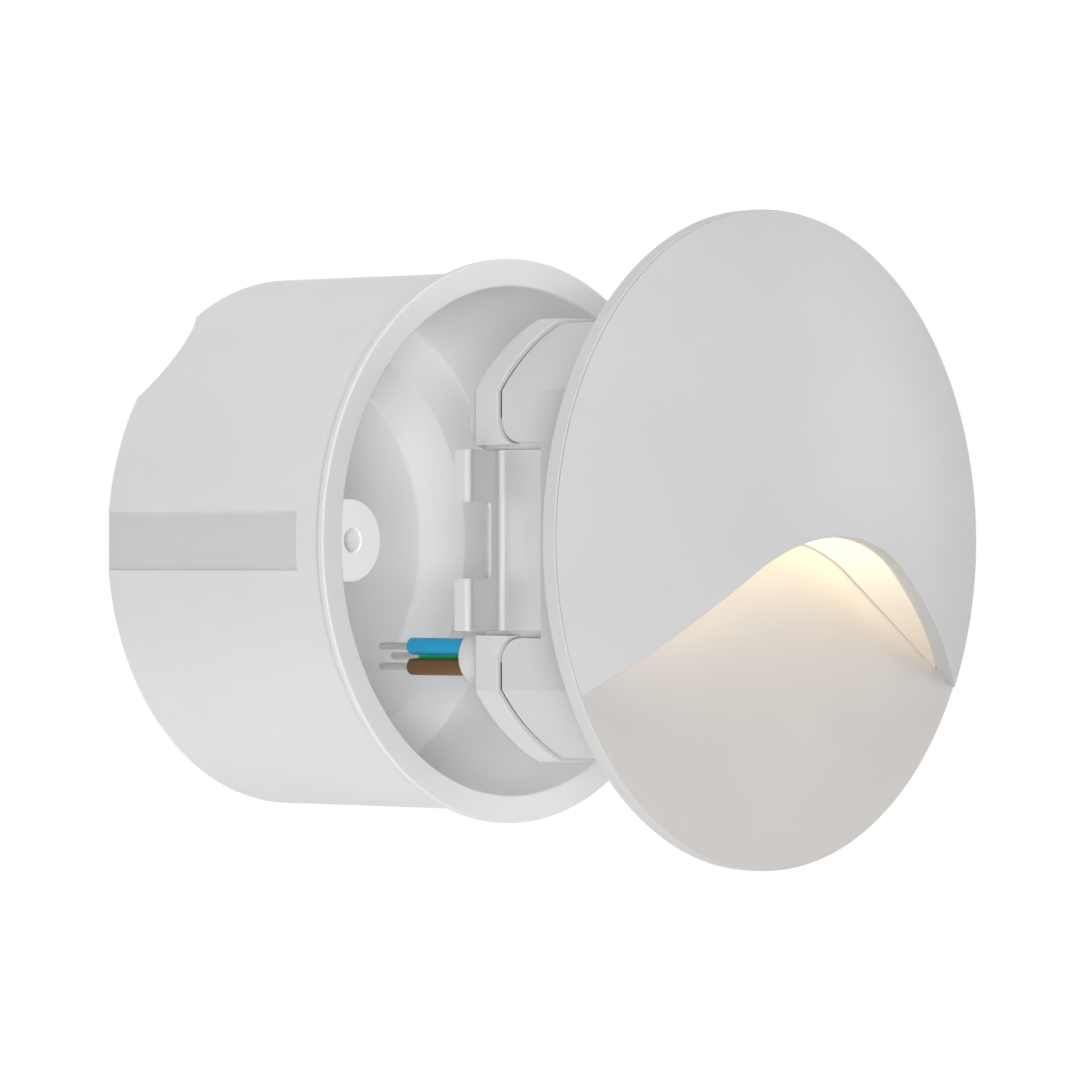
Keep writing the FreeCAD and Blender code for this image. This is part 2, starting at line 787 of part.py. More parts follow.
def rear_cap():
    body = new_body("rear_cap")
    step = of("cap_step")
    radius = of("drum_radius") + step
    half_width = drum_half_width + step
    half_height = drum_half_height + step
    shell = sketch_at(body, cap_front)
    flatted(shell, radius, half_width, half_height)
    bevelled(body, pad(body, shell, of("cap_length")), cap_rear, of("cap_edge"))
    # the spigot that reaches into the drum, and the hollow of the cap
    gap = of("spigot_gap")
    spigot = sketch_at(body, cap_front)
    flatted(spigot, cavity[0] - gap, cavity[1] - gap, cavity[2] - gap)
    pad(body, spigot, of("spigot_length") + of("seam") - gap * 2, back=False)
    hollow = sketch_at(body, cap_inside)
    wall = of("cap_wall") + gap
    flatted(hollow, cavity[0] - wall, cavity[1] - wall, cavity[2] - wall)
    pocket(body, hollow, cap_inside - drum_end + of("spigot_length"), back=False)
    bosses = sketch_at(body, cap_inside)
    circles(bosses, cap_screw_points(), of("boss_radius"))
    pad(body, bosses, cap_inside - boss_end - gap, back=False)
    # notches in line with the drum's
    notch = sketch_at(body, cap_front)
    half = of("notch_half_height") - of("seam")
    inner = notch_floor - of("clip_thickness")
    beyond = half_width + step
    rectangle(notch, inner, beyond, -half, half)
    rectangle(notch, -beyond, -inner, -half, half)
    pocket(body, notch, of("cap_length"))
    # tongues that fill the rounded mouths of the drum's notches
    corner = of("notch_corner")
    bow = corner + of("seam")
    bow_y = drum_end - corner
    bow_z = of("notch_half_height") + corner
    tip_y = drum_end - of("tongue_reach")
    tip_z = bow_z - leg(bow, tip_y - bow_y)
    tongue_inner = notch_floor + of("seam")
    for side in (1, -1):
        tongues = sketch_on(body, "YZ_Plane", tongue_inner * side)
        for up in (1, -1):
            outline(tongues, (cap_front, half * up), (cap_front, bow_z * up),
                    (tip_y, tip_z * up, bow_y, bow_z * up, -up), (tip_y, half * up),
                    (cap_front, half * up))
        pad(body, tongues, half_width - tongue_inner, back=side < 0)
    holes = sketch_at(body, cap_rear)
    circles(holes, cap_screw_points(), of("screw_radius") + of("screw_gap"))
    pocket(body, holes, cap_rear - boss_end, back=False)
    entries = sketch_at(body, cap_rear)
    entry = of("sheath_radius") + of("entry_gap")
    circle(entries, -entry_x, entry_z, entry)
    circle(entries, -entry_x, -entry_z, entry)
    pocket(body, entries, cap_rear - drum_end + of("spigot_length"), back=False)
    return body


# ---------------------------------------------------------------- screws


def screws(label, points, head_seat, length, back):
    """A group of pan-head screws. The heads stand on the plane head_seat, towards +Y where
    back is true, and the shanks run the other way."""
    body = new_body(label)
    heads = sketch_at(body, head_seat)
    circles(heads, points, of("screw_head_radius"))
    pad(body, heads, of("screw_head_height"), back=back)
    shanks = sketch_at(body, head_seat)
    circles(shanks, points, of("screw_radius"))
    pad(body, shanks, length, back=not back)
    return body


def all_screws():
    bite = of("screw_bite") - of("screw_gap") * 4
    return [screws("cap_screws", cap_screw_points(), cap_rear, cap_rear - boss_end + bite, True),
            screws("driver_screws", driver_screw_points(), driver_rear,
                   of("driver_thickness") + bite, True),
            screws("hood_screws", hood_screw_points(), floor_inside, of("drum_floor") + bite, True),
            screws("led_board_screws", led_screw_points(), disc_front, of("drum_floor"), False)]


# ---------------------------------------------------------------- cable


def core_points():
    x, z, ring = -entry_x, -entry_z, of("core_circle")
    half = as_size(0.5)
    tall = root(as_size(0.75))
    return {"core_green": (x + ring, z),
            "core_blue": (x - ring * half, z + ring * tall),
            "core_brown": (x - ring * half, z - ring * tall)}


def cable():
    pieces = []
    places = core_points()
    start = driver_rear

    def jacket(sketch):
        circle(sketch, -entry_x, -entry_z, of("sheath_radius"))

    sheath = prism("cable_sheath", entry_inside, sheath_end - entry_inside, jacket)
    bores = sketch_at(sheath, entry_inside)
    circles(bores, places.values(), of("core_radius") + of("wire_gap"))
    pocket(sheath, bores, sheath_end - entry_inside)
    pieces.append(sheath)
    for label, (x, z) in places.items():
        body = new_body(label)
        skin = sketch_at(body, start)
        circle(skin, x, z, of("core_radius"))
        pad(body, skin, core_end - start)
        bore = sketch_at(body, start)
        circle(bore, x, z, of("wire_radius") + of("wire_gap"))
        pocket(body, bore, core_end - start)
        pieces.append(body)

    def wires(sketch):
        circles(sketch, places.values(), of("wire_radius"))

    pieces.append(prism("bare_wires", start, wire_end - start, wires))

    def stopper(sketch):
        circle(sketch, -entry_x, entry_z, of("sheath_radius"))

    pieces.append(prism("blanking_plug", entry_inside, cap_rear + of("plug_stand") - entry_inside,
                        stopper))
    return pieces


# ---------------------------------------------------------------- spring clips


def clip(side, name):
    """One clip: the flat root in the housing's notch and the sprung fork, as two pieces that
    meet at the foot of the bend. side is -1 on the left and 1 on the right."""
    t = of("clip_thickness")
    tall = of("clip_half_height")
    near = notch_floor
    far = notch_floor + t
    base = new_body(f"clip_{name}_base")
    flat = sketch_on(base, "XY_Plane", -tall)
    front = drum_end - of("notch_length") - of("clip_tuck")
    low, high = (near, far) if side > 0 else (-far, -near)
    rectangle(flat, low, high, front, drum_end)
    pad(base, flat, tall * 2, back=False)

    wing = new_body(f"clip_{name}_wing")
    bend = of("clip_bend")
    lip_bend = of("clip_lip_bend")
    centre_x = far + bend
    tab_front = drum_end + bend
    tab_rear = tab_front + t
    reach = near + of("clip_arm")
    lip_centre_x = reach - t - lip_bend
    lip_centre_y = tab_rear + lip_bend
    lip_end = tab_front + of("clip_lip")
    turn = 1 if side > 0 else -1
    profile = sketch_on(wing, "XY_Plane", -tall)
    outline(profile, (near * side, drum_end), (far * side, drum_end),
            (centre_x * side, tab_front, centre_x * side, drum_end, -turn),
            (lip_centre_x * side, tab_front),
            (reach * side, lip_centre_y, lip_centre_x * side, lip_centre_y, turn),
            (reach * side, lip_end),
            ((reach - t) * side, lip_end),
            ((reach - t) * side, lip_centre_y),
            (lip_centre_x * side, tab_rear, lip_centre_x * side, lip_centre_y, -turn),
            (centre_x * side, tab_rear),
            (near * side, drum_end, centre_x * side, drum_end, turn))
    pad(wing, profile, tall * 2, back=False)
    fork = sketch_at(wing, drum_end)
    half = of("fork_half_height")
    fork_root = near + of("fork_start")
    low, high = (fork_root, reach + t) if side > 0 else (-(reach + t), -fork_root)
    rectangle(fork, low, high, -half, half)
    pocket(wing, fork, lip_end - drum_end + t)
    return [base, wing]


# ---------------------------------------------------------------- assembly and export

pieces = [mounting_box(), front_housing(), hood(), diffuser(), diffuser_gasket()]
pieces += light_source()
pieces += driver()
pieces += [cap_gasket(), rear_cap()]
pieces += all_screws()
pieces += cable()
pieces += clip(-1, "left")
pieces += clip(1, "right")

doc.recompute()

for item in doc.Objects:
    if "Invalid" in item.State or "Error" in item.State:
        raise RuntimeError(f"{item.Name} failed: {item.State}")
for feature in pockets:
    before = feature.BaseFeature.Shape.Volume
    if not feature.Shape.Volume < before - 1e-6:
        raise RuntimeError(f"{feature.Name} cuts nothing")
for piece in pieces:
    if piece.Shape.isNull() or not piece.Shape.isValid():
        raise RuntimeError(f"{piece.Label} has no valid shape")

os.makedirs("parts", exist_ok=True)
for piece in pieces:
    piece.Shape.exportStep(f"parts/{piece.Label}.step")
    print(f"{piece.Label}: {len(piece.Shape.Solids)} solids, {piece.Shape.Volume:.1f} mm3")
print(len(pieces), "pieces")
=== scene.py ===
# %% [markdown]
# # A recessed step light, drawn out of its wall box
# The light is a round metal plate with a domed hood over its upper part. A closed drum behind the
# plate holds the electronics, and two spring clips hold the drum in a plastic box in the wall.
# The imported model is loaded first. It holds every piece at its real size, and each piece made here
# stands where the model says. Sizes are written in millimetres, as on a maker's drawing. Blender
# counts in metres, and MM turns the one into the other.

# %% Load the model that everything is fitted to
import json
import math

import bmesh
import bpy
from mathutils import Matrix, Vector


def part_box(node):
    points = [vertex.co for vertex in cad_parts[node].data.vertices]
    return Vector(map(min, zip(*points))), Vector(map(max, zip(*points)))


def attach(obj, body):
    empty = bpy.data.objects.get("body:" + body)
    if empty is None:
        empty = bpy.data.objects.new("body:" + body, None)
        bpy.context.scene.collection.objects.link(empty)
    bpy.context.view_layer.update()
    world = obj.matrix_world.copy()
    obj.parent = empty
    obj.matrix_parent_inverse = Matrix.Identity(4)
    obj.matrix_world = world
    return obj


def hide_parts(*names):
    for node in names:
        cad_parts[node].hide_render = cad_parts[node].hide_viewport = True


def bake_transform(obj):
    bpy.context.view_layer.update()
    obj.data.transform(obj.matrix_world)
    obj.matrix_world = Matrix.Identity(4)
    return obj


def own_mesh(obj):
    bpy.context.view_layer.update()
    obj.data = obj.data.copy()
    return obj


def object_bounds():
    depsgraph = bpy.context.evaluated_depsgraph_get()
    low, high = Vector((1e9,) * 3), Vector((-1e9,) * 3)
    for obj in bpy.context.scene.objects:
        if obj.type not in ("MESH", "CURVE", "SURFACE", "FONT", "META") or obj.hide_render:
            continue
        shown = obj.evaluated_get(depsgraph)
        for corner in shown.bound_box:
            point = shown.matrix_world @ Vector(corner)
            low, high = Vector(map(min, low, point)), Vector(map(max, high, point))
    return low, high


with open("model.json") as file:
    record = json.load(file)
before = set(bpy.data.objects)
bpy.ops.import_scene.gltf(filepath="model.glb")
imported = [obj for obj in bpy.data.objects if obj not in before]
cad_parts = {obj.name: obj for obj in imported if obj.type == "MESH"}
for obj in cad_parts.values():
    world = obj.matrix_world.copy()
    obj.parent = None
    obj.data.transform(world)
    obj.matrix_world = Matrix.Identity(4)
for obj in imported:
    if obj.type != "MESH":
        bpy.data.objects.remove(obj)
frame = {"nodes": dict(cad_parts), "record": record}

cad_low, cad_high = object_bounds()
MM = 0.001


def size_of(node):
    """The lowest and highest corner of a node of the model, in millimetres."""
    low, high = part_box(node)
    return low / MM, high / MM


print("whole light in mm:", [round(length / MM, 1) for length in cad_high - cad_low])

# %% [markdown]
# ## Standing somewhere and looking back
# The camera and every lamp stand somewhere round the light and look back at it. Their places could
# be typed as X, Y and Z, but two angles are easier to picture: how far round, and how far up.

# %% Places and aims from two angles
def direction(azimuth, elevation):
    """The way from the light to a place round it, in degrees. Azimuth 0 is straight in front."""
    around, up = math.radians(azimuth), math.radians(elevation)
    return Vector((math.sin(around) * math.cos(up), -math.cos(around) * math.cos(up), math.sin(up)))


def look_back(holder, towards):
    """Turns a camera or lamp, which looks along its own -Z, to look back along a direction."""
    holder.rotation_mode = "QUATERNION"
    holder.rotation_quaternion = (-towards).to_track_quat("-Z", "Y")


print("straight in front is", [round(part, 3) for part in direction(0, 0)])

# %% [markdown]
# ## The camera
# The photograph was taken from the light's left with a long lens, almost level with its axis.
# A long lens keeps the circles of plate and box close to true ellipses. The aim lies a little
# beside the middle of the picture. Turning the camera would change the ellipses a little, so the
# shift of the lens moves the picture instead.

# %% Set up the camera
PICTURE_SIDE = 1080
FOCAL_LENGTH_IN_PIXELS = 6300
AIM_LEFT_OF_MIDDLE = 23.2
AIM_BELOW_MIDDLE = 1.0
CAMERA_DISTANCE = 790 * MM
CAMERA_AZIMUTH = -48.25
CAMERA_ELEVATION = -0.17
SENSOR_WIDTH = 36.0
NEAREST_SEEN = 0.01
FARTHEST_SEEN = 100

box_low, box_high = size_of("mounting_box")
towards_camera = direction(CAMERA_AZIMUTH, CAMERA_ELEVATION)
lens = bpy.data.cameras.new("camera")
lens.sensor_width = SENSOR_WIDTH
lens.lens = SENSOR_WIDTH * FOCAL_LENGTH_IN_PIXELS / PICTURE_SIDE
lens.shift_x = AIM_LEFT_OF_MIDDLE / PICTURE_SIDE
lens.shift_y = AIM_BELOW_MIDDLE / PICTURE_SIDE
lens.clip_start = NEAREST_SEEN
lens.clip_end = FARTHEST_SEEN
camera = bpy.data.objects.new("camera", lens)
bpy.context.scene.collection.objects.link(camera)
camera.location = Vector((0, box_low.y * MM, 0)) + towards_camera * CAMERA_DISTANCE
look_back(camera, towards_camera)
bpy.context.scene.camera = camera
bpy.context.scene.view_settings.view_transform = "Standard"
print("camera stands at", [round(c, 3) for c in camera.location], "with a lens of", lens.lens, "mm")

# %% [markdown]
# ## Colours as a screen shows them
# A colour picker gives values from 0 to 255 that are stretched for the eye, while a shader counts
# the light itself. Linear values could be typed, but they are hard to read. So every colour here
# is written as a screen shows it, and a helper applies the screen's curve.

# %% Turn a screen colour into light
def paint(red, green, blue):
    """A colour as it is read off a screen, 0 to 255, turned into the linear values of a shader."""
    linear = []
    for channel in (red, green, blue):
        share = channel / 255
        linear.append(share / 12.92 if share <= 0.04045 else ((share + 0.055) / 1.055) ** 2.4)
    return (*linear, 1.0)


print("a screen grey of 128 gives back", round(paint(128, 128, 128)[0], 3), "of the light")

# %% [markdown]
# ## A material under construction
# White plastic and white powder coat are never one flat colour. A very fine grain scatters the
# light, and the tone drifts a little over a few centimetres. A picture wrapped round the piece
# could show that, but noise nodes need no unwrapping and have no seams. They read the object's own
# coordinates, so they sit still on the part when it moves or the camera turns.
# What is the same all over a surface is typed straight into the shader's sockets. A small class
# keeps the rest short: most of its methods add a node or two and hand on their output.

# %% Helpers for materials
class Finish:
    """A material under construction: its node tree, its shader and the coordinates it uses."""

    def __init__(self, name, roughness, **sockets):
        self.material = bpy.data.materials.new(name)
        self.material.use_nodes = True
        self.nodes = self.material.node_tree.nodes
        self.links = self.material.node_tree.links
        self.shader = self.nodes["Principled BSDF"]
        self.shader.inputs["Roughness"].default_value = roughness
        for socket, value in sockets.items():
            self.shader.inputs[socket.replace("_", " ")].default_value = value
        self.coordinates = self.nodes.new("ShaderNodeTexCoord").outputs

    def plug(self, socket, value):
        """Feeds a socket from another node's output, or types a plain value into it."""
        if isinstance(value, bpy.types.NodeSocket):
            self.links.new(value, socket)
        else:
            socket.default_value = value

    def set(self, socket, value):
        """Feeds one of the shader's own sockets."""
        self.plug(self.shader.inputs[socket], value)

    def noise(self, size, detail=2, stretch=(1, 1, 1)):
        """Noise whose blotches are about size millimetres wide, drawn out along an axis."""
        mapping = self.nodes.new("ShaderNodeMapping")
        mapping.inputs["Scale"].default_value = stretch
        self.links.new(self.coordinates["Object"], mapping.inputs["Vector"])
        texture = self.nodes.new("ShaderNodeTexNoise")
        texture.inputs["Scale"].default_value = 1 / (size * MM)
        texture.inputs["Detail"].default_value = detail
        self.links.new(mapping.outputs["Vector"], texture.inputs["Vector"])
        return texture.outputs["Fac"]

    def math(self, operation, *values):
        """One sum on outputs or plain numbers."""
        node = self.nodes.new("ShaderNodeMath")
        node.operation = operation
        for socket, value in zip(node.inputs, values):
            self.plug(socket, value)
        return node.outputs[0]

    def along(self, axis, vector):
        """One of the three parts of a vector."""
        split = self.nodes.new("ShaderNodeSeparateXYZ")
        self.links.new(vector, split.inputs[0])
        return split.outputs[axis]

    def place(self, axis):
        """How far a point lies from the middle of the light along X, Y or Z, in millimetres."""
        return self.math("DIVIDE", self.along(axis, self.coordinates["Object"]), MM)

    def facing(self, axis):
        """How much the surface faces along X, Y or Z of its object, from -1 to 1."""
        return self.along(axis, self.coordinates["Normal"])

    def within(self, value, low, high):
        """1 where a value lies between low and high, 0 elsewhere."""
        return self.math("COMPARE", value, (low + high) / 2, (high - low) / 2)

    def span(self, factor, low, high, start=0.0, end=1.0):
        """A number that goes from low to high while factor goes from start to end."""
        stretch = self.nodes.new("ShaderNodeMapRange")
        for socket, value in (("From Min", start), ("From Max", end), ("To Min", low),
                              ("To Max", high), ("Value", factor)):
            self.plug(stretch.inputs[socket], value)
        return stretch.outputs["Result"]

    def past(self, value, limit, start=0.02, end=0.1):
        """0 up to a limit in millimetres, 1 from a tenth of a millimetre beyond it."""
        return self.span(value, 0, 1, limit + start, limit + end)

    def between(self, factor, low, high, start=0.3, end=0.7):
        """A colour that goes from low to high while factor goes from start to end."""
        ramp = self.nodes.new("ShaderNodeValToRGB")
        for element, position, colour in zip(ramp.color_ramp.elements, (start, end), (low, high)):
            element.position = position
            element.color = colour
        self.links.new(factor, ramp.inputs["Fac"])
        return ramp.outputs["Color"]

    def drift(self, dark, light, size=18, detail=3):
        """A colour that drifts between two tones, in blotches of size millimetres."""
        return self.between(self.noise(size, detail), dark, light)

    def dimmed(self, colour, factor):
        """A colour times a number."""
        scale = self.nodes.new("ShaderNodeVectorMath")
        scale.operation = "SCALE"
        self.links.new(colour, scale.inputs[0])
        self.plug(scale.inputs["Scale"], factor)
        return scale.outputs[0]

    def choice(self, factor, colour, other):
        """One colour where factor is 0, the other where it is 1."""
        mix = self.nodes.new("ShaderNodeMixRGB")
        for socket, value in (("Fac", factor), ("Color1", colour), ("Color2", other)):
            self.plug(mix.inputs[socket], value)
        return mix.outputs["Color"]

    def relief(self, height, depth):
        """Bumps the surface by height, 0 to 1, times depth in millimetres."""
        bump = self.nodes.new("ShaderNodeBump")
        bump.inputs["Distance"].default_value = depth * MM
        self.links.new(height, bump.inputs["Height"])
        self.set("Normal", bump.outputs["Normal"])


finishes = {}
print("material helpers are ready")

# %% [markdown]
# ## Plastic, coats and rubber
# A moulded or painted surface needs three things: a tone that drifts, a polish that is a little
# uneven, and a grain. The white parts differ more in polish and grain than in colour. One recipe
# with its own figures for each part keeps them alike, and the hidden parts inside use it too.

# %% The recipe, and the parts that need nothing more
POLISH_DRIFT = 6
POLISH_CHANGE = 0.05


def moulded(slot, dark, light, roughness, grain, depth):
    """Drifting tone, uneven polish and a fine grain. Sizes are in millimetres."""
    finish = Finish(slot, roughness)
    tone = finish.drift(paint(*dark), paint(*light))
    finish.set("Base Color", tone)
    finish.set("Roughness", finish.span(finish.noise(POLISH_DRIFT, 3), roughness - POLISH_CHANGE,
                                        roughness + POLISH_CHANGE))
    finish.relief(finish.noise(grain), depth)
    finishes[slot] = finish.material
    return finish, tone


# Darkest and lightest tone, roughness, width of the grain, depth of the grain.
PLAIN_COATS = {
    "cap_plastic": ((207, 207, 207), (211, 211, 211), 0.45, 0.5, 0.01),
    "cable_white": ((204, 203, 202), (209, 208, 207), 0.4, 0.4, 0.01),
    "core_blue": ((22, 144, 190), (32, 154, 200), 0.35, 0.4, 0.01),
    "core_green": ((12, 184, 86), (18, 194, 96), 0.35, 0.4, 0.01),
    "core_brown": ((99, 68, 36), (111, 78, 42), 0.35, 0.4, 0.01),
    "lead": ((178, 32, 26), (196, 44, 34), 0.4, 0.4, 0.01),
    "board": ((18, 92, 48), (28, 112, 60), 0.35, 0.4, 0.01),
    "led_board": ((236, 236, 234), (242, 242, 240), 0.4, 0.4, 0.01),
    "thermal_pad": ((140, 146, 154), (156, 162, 168), 0.8, 0.4, 0.03),
    "component_black": ((26, 26, 27), (36, 36, 38), 0.4, 0.4, 0.02),
    "component_yellow": ((214, 184, 52), (226, 198, 70), 0.35, 0.4, 0.01),
    "capacitor_can": ((46, 52, 72), (58, 64, 86), 0.3, 0.4, 0.01)}

for slot, figures in PLAIN_COATS.items():
    moulded(slot, *figures)
print(len(finishes), "finishes so far")

# %% [markdown]
# ## The coats of plate and hood
# Plate and hood are powder coated in one white. The front of the plate gets painted light: a warmer
# tone for the warm light that falls on it. The hood's lip and broken edges get painted shade: the
# tone is dimmed where the surface faces sideways. Both could be pieces of their own, but they are
# one casting each. So the material looks up where it is, or which way it faces, and changes its
# tone there.

# %% Coat the housing and the hood
LIP_PAINTED_SHADE = 0.84
BROKEN_EDGE_PAINTED_SHADE = 0.6

housing_low, housing_high = size_of("front_housing")
plate_front = housing_low.y
coat, coat_tone = moulded("housing_paint", (203, 203, 203), (207, 207, 207),
                          roughness=0.55, grain=0.3, depth=0.008)
# The warmer tone on the front of the plate is painted light.
painted_warm_light = coat.drift(paint(197, 194, 191), paint(201, 198, 195))
off_the_face = coat.past(coat.place("Y"), plate_front)
coat.set("Base Color", coat.choice(off_the_face, painted_warm_light, coat_tone))

shell, shell_tone = moulded("hood_paint", (198, 198, 198), (202, 202, 202),
                            roughness=0.5, grain=0.3, depth=0.008)
# Surfaces that face sideways, the lip and the broken edges, get painted shade: their tone is dimmed.
forwards = shell.math("ABSOLUTE", shell.facing("Y"))
lip = shell.span(forwards, LIP_PAINTED_SHADE, BROKEN_EDGE_PAINTED_SHADE, start=0.1, end=0.4)
dome = shell.span(forwards, 0, 1 - BROKEN_EDGE_PAINTED_SHADE, start=0.5, end=0.8)
shell.set("Base Color", shell.dimmed(shell_tone, shell.math("ADD", lip, dome)))
print("the warm coat ends at y =", round(plate_front, 1), "mm")

# %% [markdown]
# ## The box's plastic
# The floors of the two channels get painted shade: a darker tone for the shade in these recesses.
# The inside of the box gets painted light: a lighter tone, so that it looks as bright as the
# outside though less light falls into it. Three materials would do, but one that looks up where it
# is keeps the box in one piece. Inside the mouth's radius it takes the lighter tone, and between the
# channels' limits it dims it. Where a limit has to clear a face, here and in the cutters later on,
# it runs PAST millimetres beyond it.

# %% Plastic with a lighter inside and darker channels
BARREL_RADIUS = 33.8
BARREL_WALL = 1.9
CHANNEL_HALF_HEIGHT = 3.65
CHANNEL_DEPTH = 0.5
CHANNEL_START = 5.0
CHANNEL_PAINTED_SHADE = 0.86
PAST = 1.0

mouth_radius = BARREL_RADIUS - BARREL_WALL
box_finish, outer_tone = moulded("box_plastic", (219, 219, 220), (223, 223, 224),
                                  roughness=0.5, grain=0.5, depth=0.01)
# The lighter tone inside the mouth is painted light, for the light that doesn't fall into the box.
painted_inner_light = box_finish.drift(paint(241, 241, 242), paint(244, 244, 245))
squares = [box_finish.math("POWER", box_finish.place(axis), 2) for axis in "XZ"]
from_axis = box_finish.math("SQRT", box_finish.math("ADD", *squares))
box_tone = box_finish.choice(box_finish.past(from_axis, mouth_radius), painted_inner_light, outer_tone)
# The darker tone on the channels' floors is painted shade for these recesses.
channel = box_finish.within(box_finish.math("ABSOLUTE", box_finish.place("X")),
                            BARREL_RADIUS - 2 * CHANNEL_DEPTH, BARREL_RADIUS)
for limit in (box_finish.within(box_finish.place("Z"), -CHANNEL_HALF_HEIGHT, CHANNEL_HALF_HEIGHT),
              box_finish.within(box_finish.place("Y"), CHANNEL_START, box_high.y + PAST)):
    channel = box_finish.math("MULTIPLY", channel, limit)
box_finish.set("Base Color", box_finish.dimmed(box_tone, box_finish.span(channel, 1, CHANNEL_PAINTED_SHADE)))
print("channels from y =", CHANNEL_START, "to", round(box_high.y, 1), "mm are darker")

# %% [markdown]
# ## Metals
# Sheet and wire are rolled or drawn, which leaves fine lines along one direction. Noise that is
# stretched a lot along that direction gives such lines. They change the tone, the polish and the
# relief together, but only slightly, so that the metal still looks smooth from a distance.

# %% Make the metal finishes
LINE_WIDTH = 0.2
LINE_DEPTH = 0.0003
STREAK_WIDTH = 2
STREAK_CHANGE = 0.04


def rolled_metal(slot, dark, light, roughness, stretch, metallic=1.0):
    """Bright sheet or wire with fine lines along the direction it was rolled in."""
    finish = Finish(slot, roughness, Metallic=metallic)
    lines = finish.noise(LINE_WIDTH, stretch=stretch)
    streaks = finish.noise(STREAK_WIDTH, stretch=stretch)
    finish.set("Base Color", finish.between(lines, paint(*dark), paint(*light)))
    finish.set("Roughness", finish.span(streaks, roughness - STREAK_CHANGE,
                                        roughness + STREAK_CHANGE))
    finish.relief(lines, LINE_DEPTH)
    finishes[slot] = finish.material


rolled_metal("spring_steel", (206, 207, 208), (211, 212, 213), 0.38, (1, 1, 0.04), metallic=0.6)
rolled_metal("screw_steel", (196, 197, 200), (210, 210, 212), 0.3, (1, 0.3, 1))
rolled_metal("bare_wire", (240, 239, 236), (248, 247, 244), 0.18, (1, 0.05, 1))
print("metals:", [name for name in finishes if "steel" in name or "wire" in name])

# %% [markdown]
# ## Light through the frosted wall
# The frosted wall is lit from behind by a short row of chips. Tracing that light through the plastic
# would be slow and grainy, so the wall itself glows: nearly white in the middle, where the chips
# sit, and dimmer and warmer towards its ends. It gives the plate more light than it shows to the
# camera, since a photograph holds such bright spots back. Light Path tells the two apart, and what
# is given fades towards the ends as well. All limits are shares of the wall's half length.

# %% Make the frosted wall glow
GLOW_HALF_LENGTH = 32.0
SEEN_EVEN_UP_TO = 0.36
WARM_FROM = 0.6
SEEN_DIMMEST_AT = 0.97
SEEN_IN_THE_MIDDLE = 0.88
SEEN_AT_THE_END = 0.45
GIVEN_EVEN_UP_TO = 0.3
GIVEN_DIMMEST_AT = 0.9
GIVEN_IN_THE_MIDDLE = 3.1
GIVEN_AT_THE_END = 0.9

glow = Finish("diffuser", roughness=0.4)
glow.set("Base Color", glow.drift(paint(106, 103, 98), paint(114, 111, 106), size=3, detail=2))
share = glow.math("DIVIDE", glow.math("ABSOLUTE", glow.place("X")), GLOW_HALF_LENGTH)
warmth = glow.between(share, paint(255, 254, 226), paint(255, 236, 212), SEEN_EVEN_UP_TO, WARM_FROM)
fading = glow.span(share, SEEN_IN_THE_MIDDLE, SEEN_AT_THE_END, SEEN_EVEN_UP_TO, SEEN_DIMMEST_AT)
to_camera = glow.nodes.new("ShaderNodeLightPath").outputs["Is Camera Ray"]
glow.set("Emission Color",
         glow.choice(to_camera, paint(255, 226, 180), glow.dimmed(warmth, fading)))
given = glow.span(share, GIVEN_IN_THE_MIDDLE, GIVEN_AT_THE_END, GIVEN_EVEN_UP_TO, GIVEN_DIMMEST_AT)
less_for_camera = glow.math("SUBTRACT", 1, given)
glow.set("Emission Strength", glow.math("MULTIPLY_ADD", to_camera, less_for_camera, given))
finishes["diffuser"] = glow.material
print("the wall gives", GIVEN_IN_THE_MIDDLE, "in the middle and", GIVEN_AT_THE_END, "at its ends")

# %% [markdown]
# ## Chips and seals
# Each chip is a drop of yellow phosphor that glows by itself, so its colour is also what it sends
# out. The seals are soft rubber. The strip at the foot of the frosted wall gets painted light: a
# pale tone for the light of the chips it sits in. The ring in the seam of the drum is dark rubber,
# and its dark tone also paints the shade in the seam. One rubber serves both, and takes the dark
# tone a little way behind the plate's front.

# %% Make the chips' phosphor and the rubber
BEHIND_THE_STRIP = 1.0

chip = Finish("led_chip", roughness=0.4)
phosphor = chip.drift(paint(250, 206, 96), paint(255, 222, 130), size=1, detail=2)
chip.set("Base Color", phosphor)
chip.set("Emission Color", phosphor)
chip.set("Emission Strength", 1.0)
finishes["led_chip"] = chip.material

rubber = Finish("seal", roughness=0.7)
dark_rubber_and_seam_shade = rubber.drift(paint(30, 29, 28), paint(40, 38, 36), size=8, detail=2)
behind = rubber.span(rubber.place("Y"), 0, 1, plate_front + BEHIND_THE_STRIP,
                     plate_front + 2 * BEHIND_THE_STRIP)
# The pale tone at the strip is painted light, and the dark tone also paints the seam's shade.
rubber.set("Base Color", rubber.choice(behind, paint(198, 190, 178), dark_rubber_and_seam_shade))
finishes["seal"] = rubber.material
print(len(finishes), "finishes in all")

# %% [markdown]
# ## Every node of the model gets its finish
# The record names a material slot for each node. The nodes that show are replaced by the pieces
# made below. The boards with their chips, pad and components, the leads, the screws inside the drum
# and the strip at the foot of the frosted wall have their right shape already, so they only need
# the finish.

# %% Give each node of the model its finish
for subpart in frame["record"]["subparts"]:
    part = frame["nodes"][subpart["node"]]
    part.data.materials.clear()
    part.data.materials.append(finishes[subpart["material_slot"]])
print(len(frame["nodes"]), "nodes have their finish")

# %% [markdown]
# ## Rounded corners
# No moulded or cut edge is truly sharp, and a small radius is what catches the light. A bevel
# modifier could round the finished mesh, but it also rounds edges that should stay crisp. Here
# each corner of an outline carries its own radius, before anything is made from it.

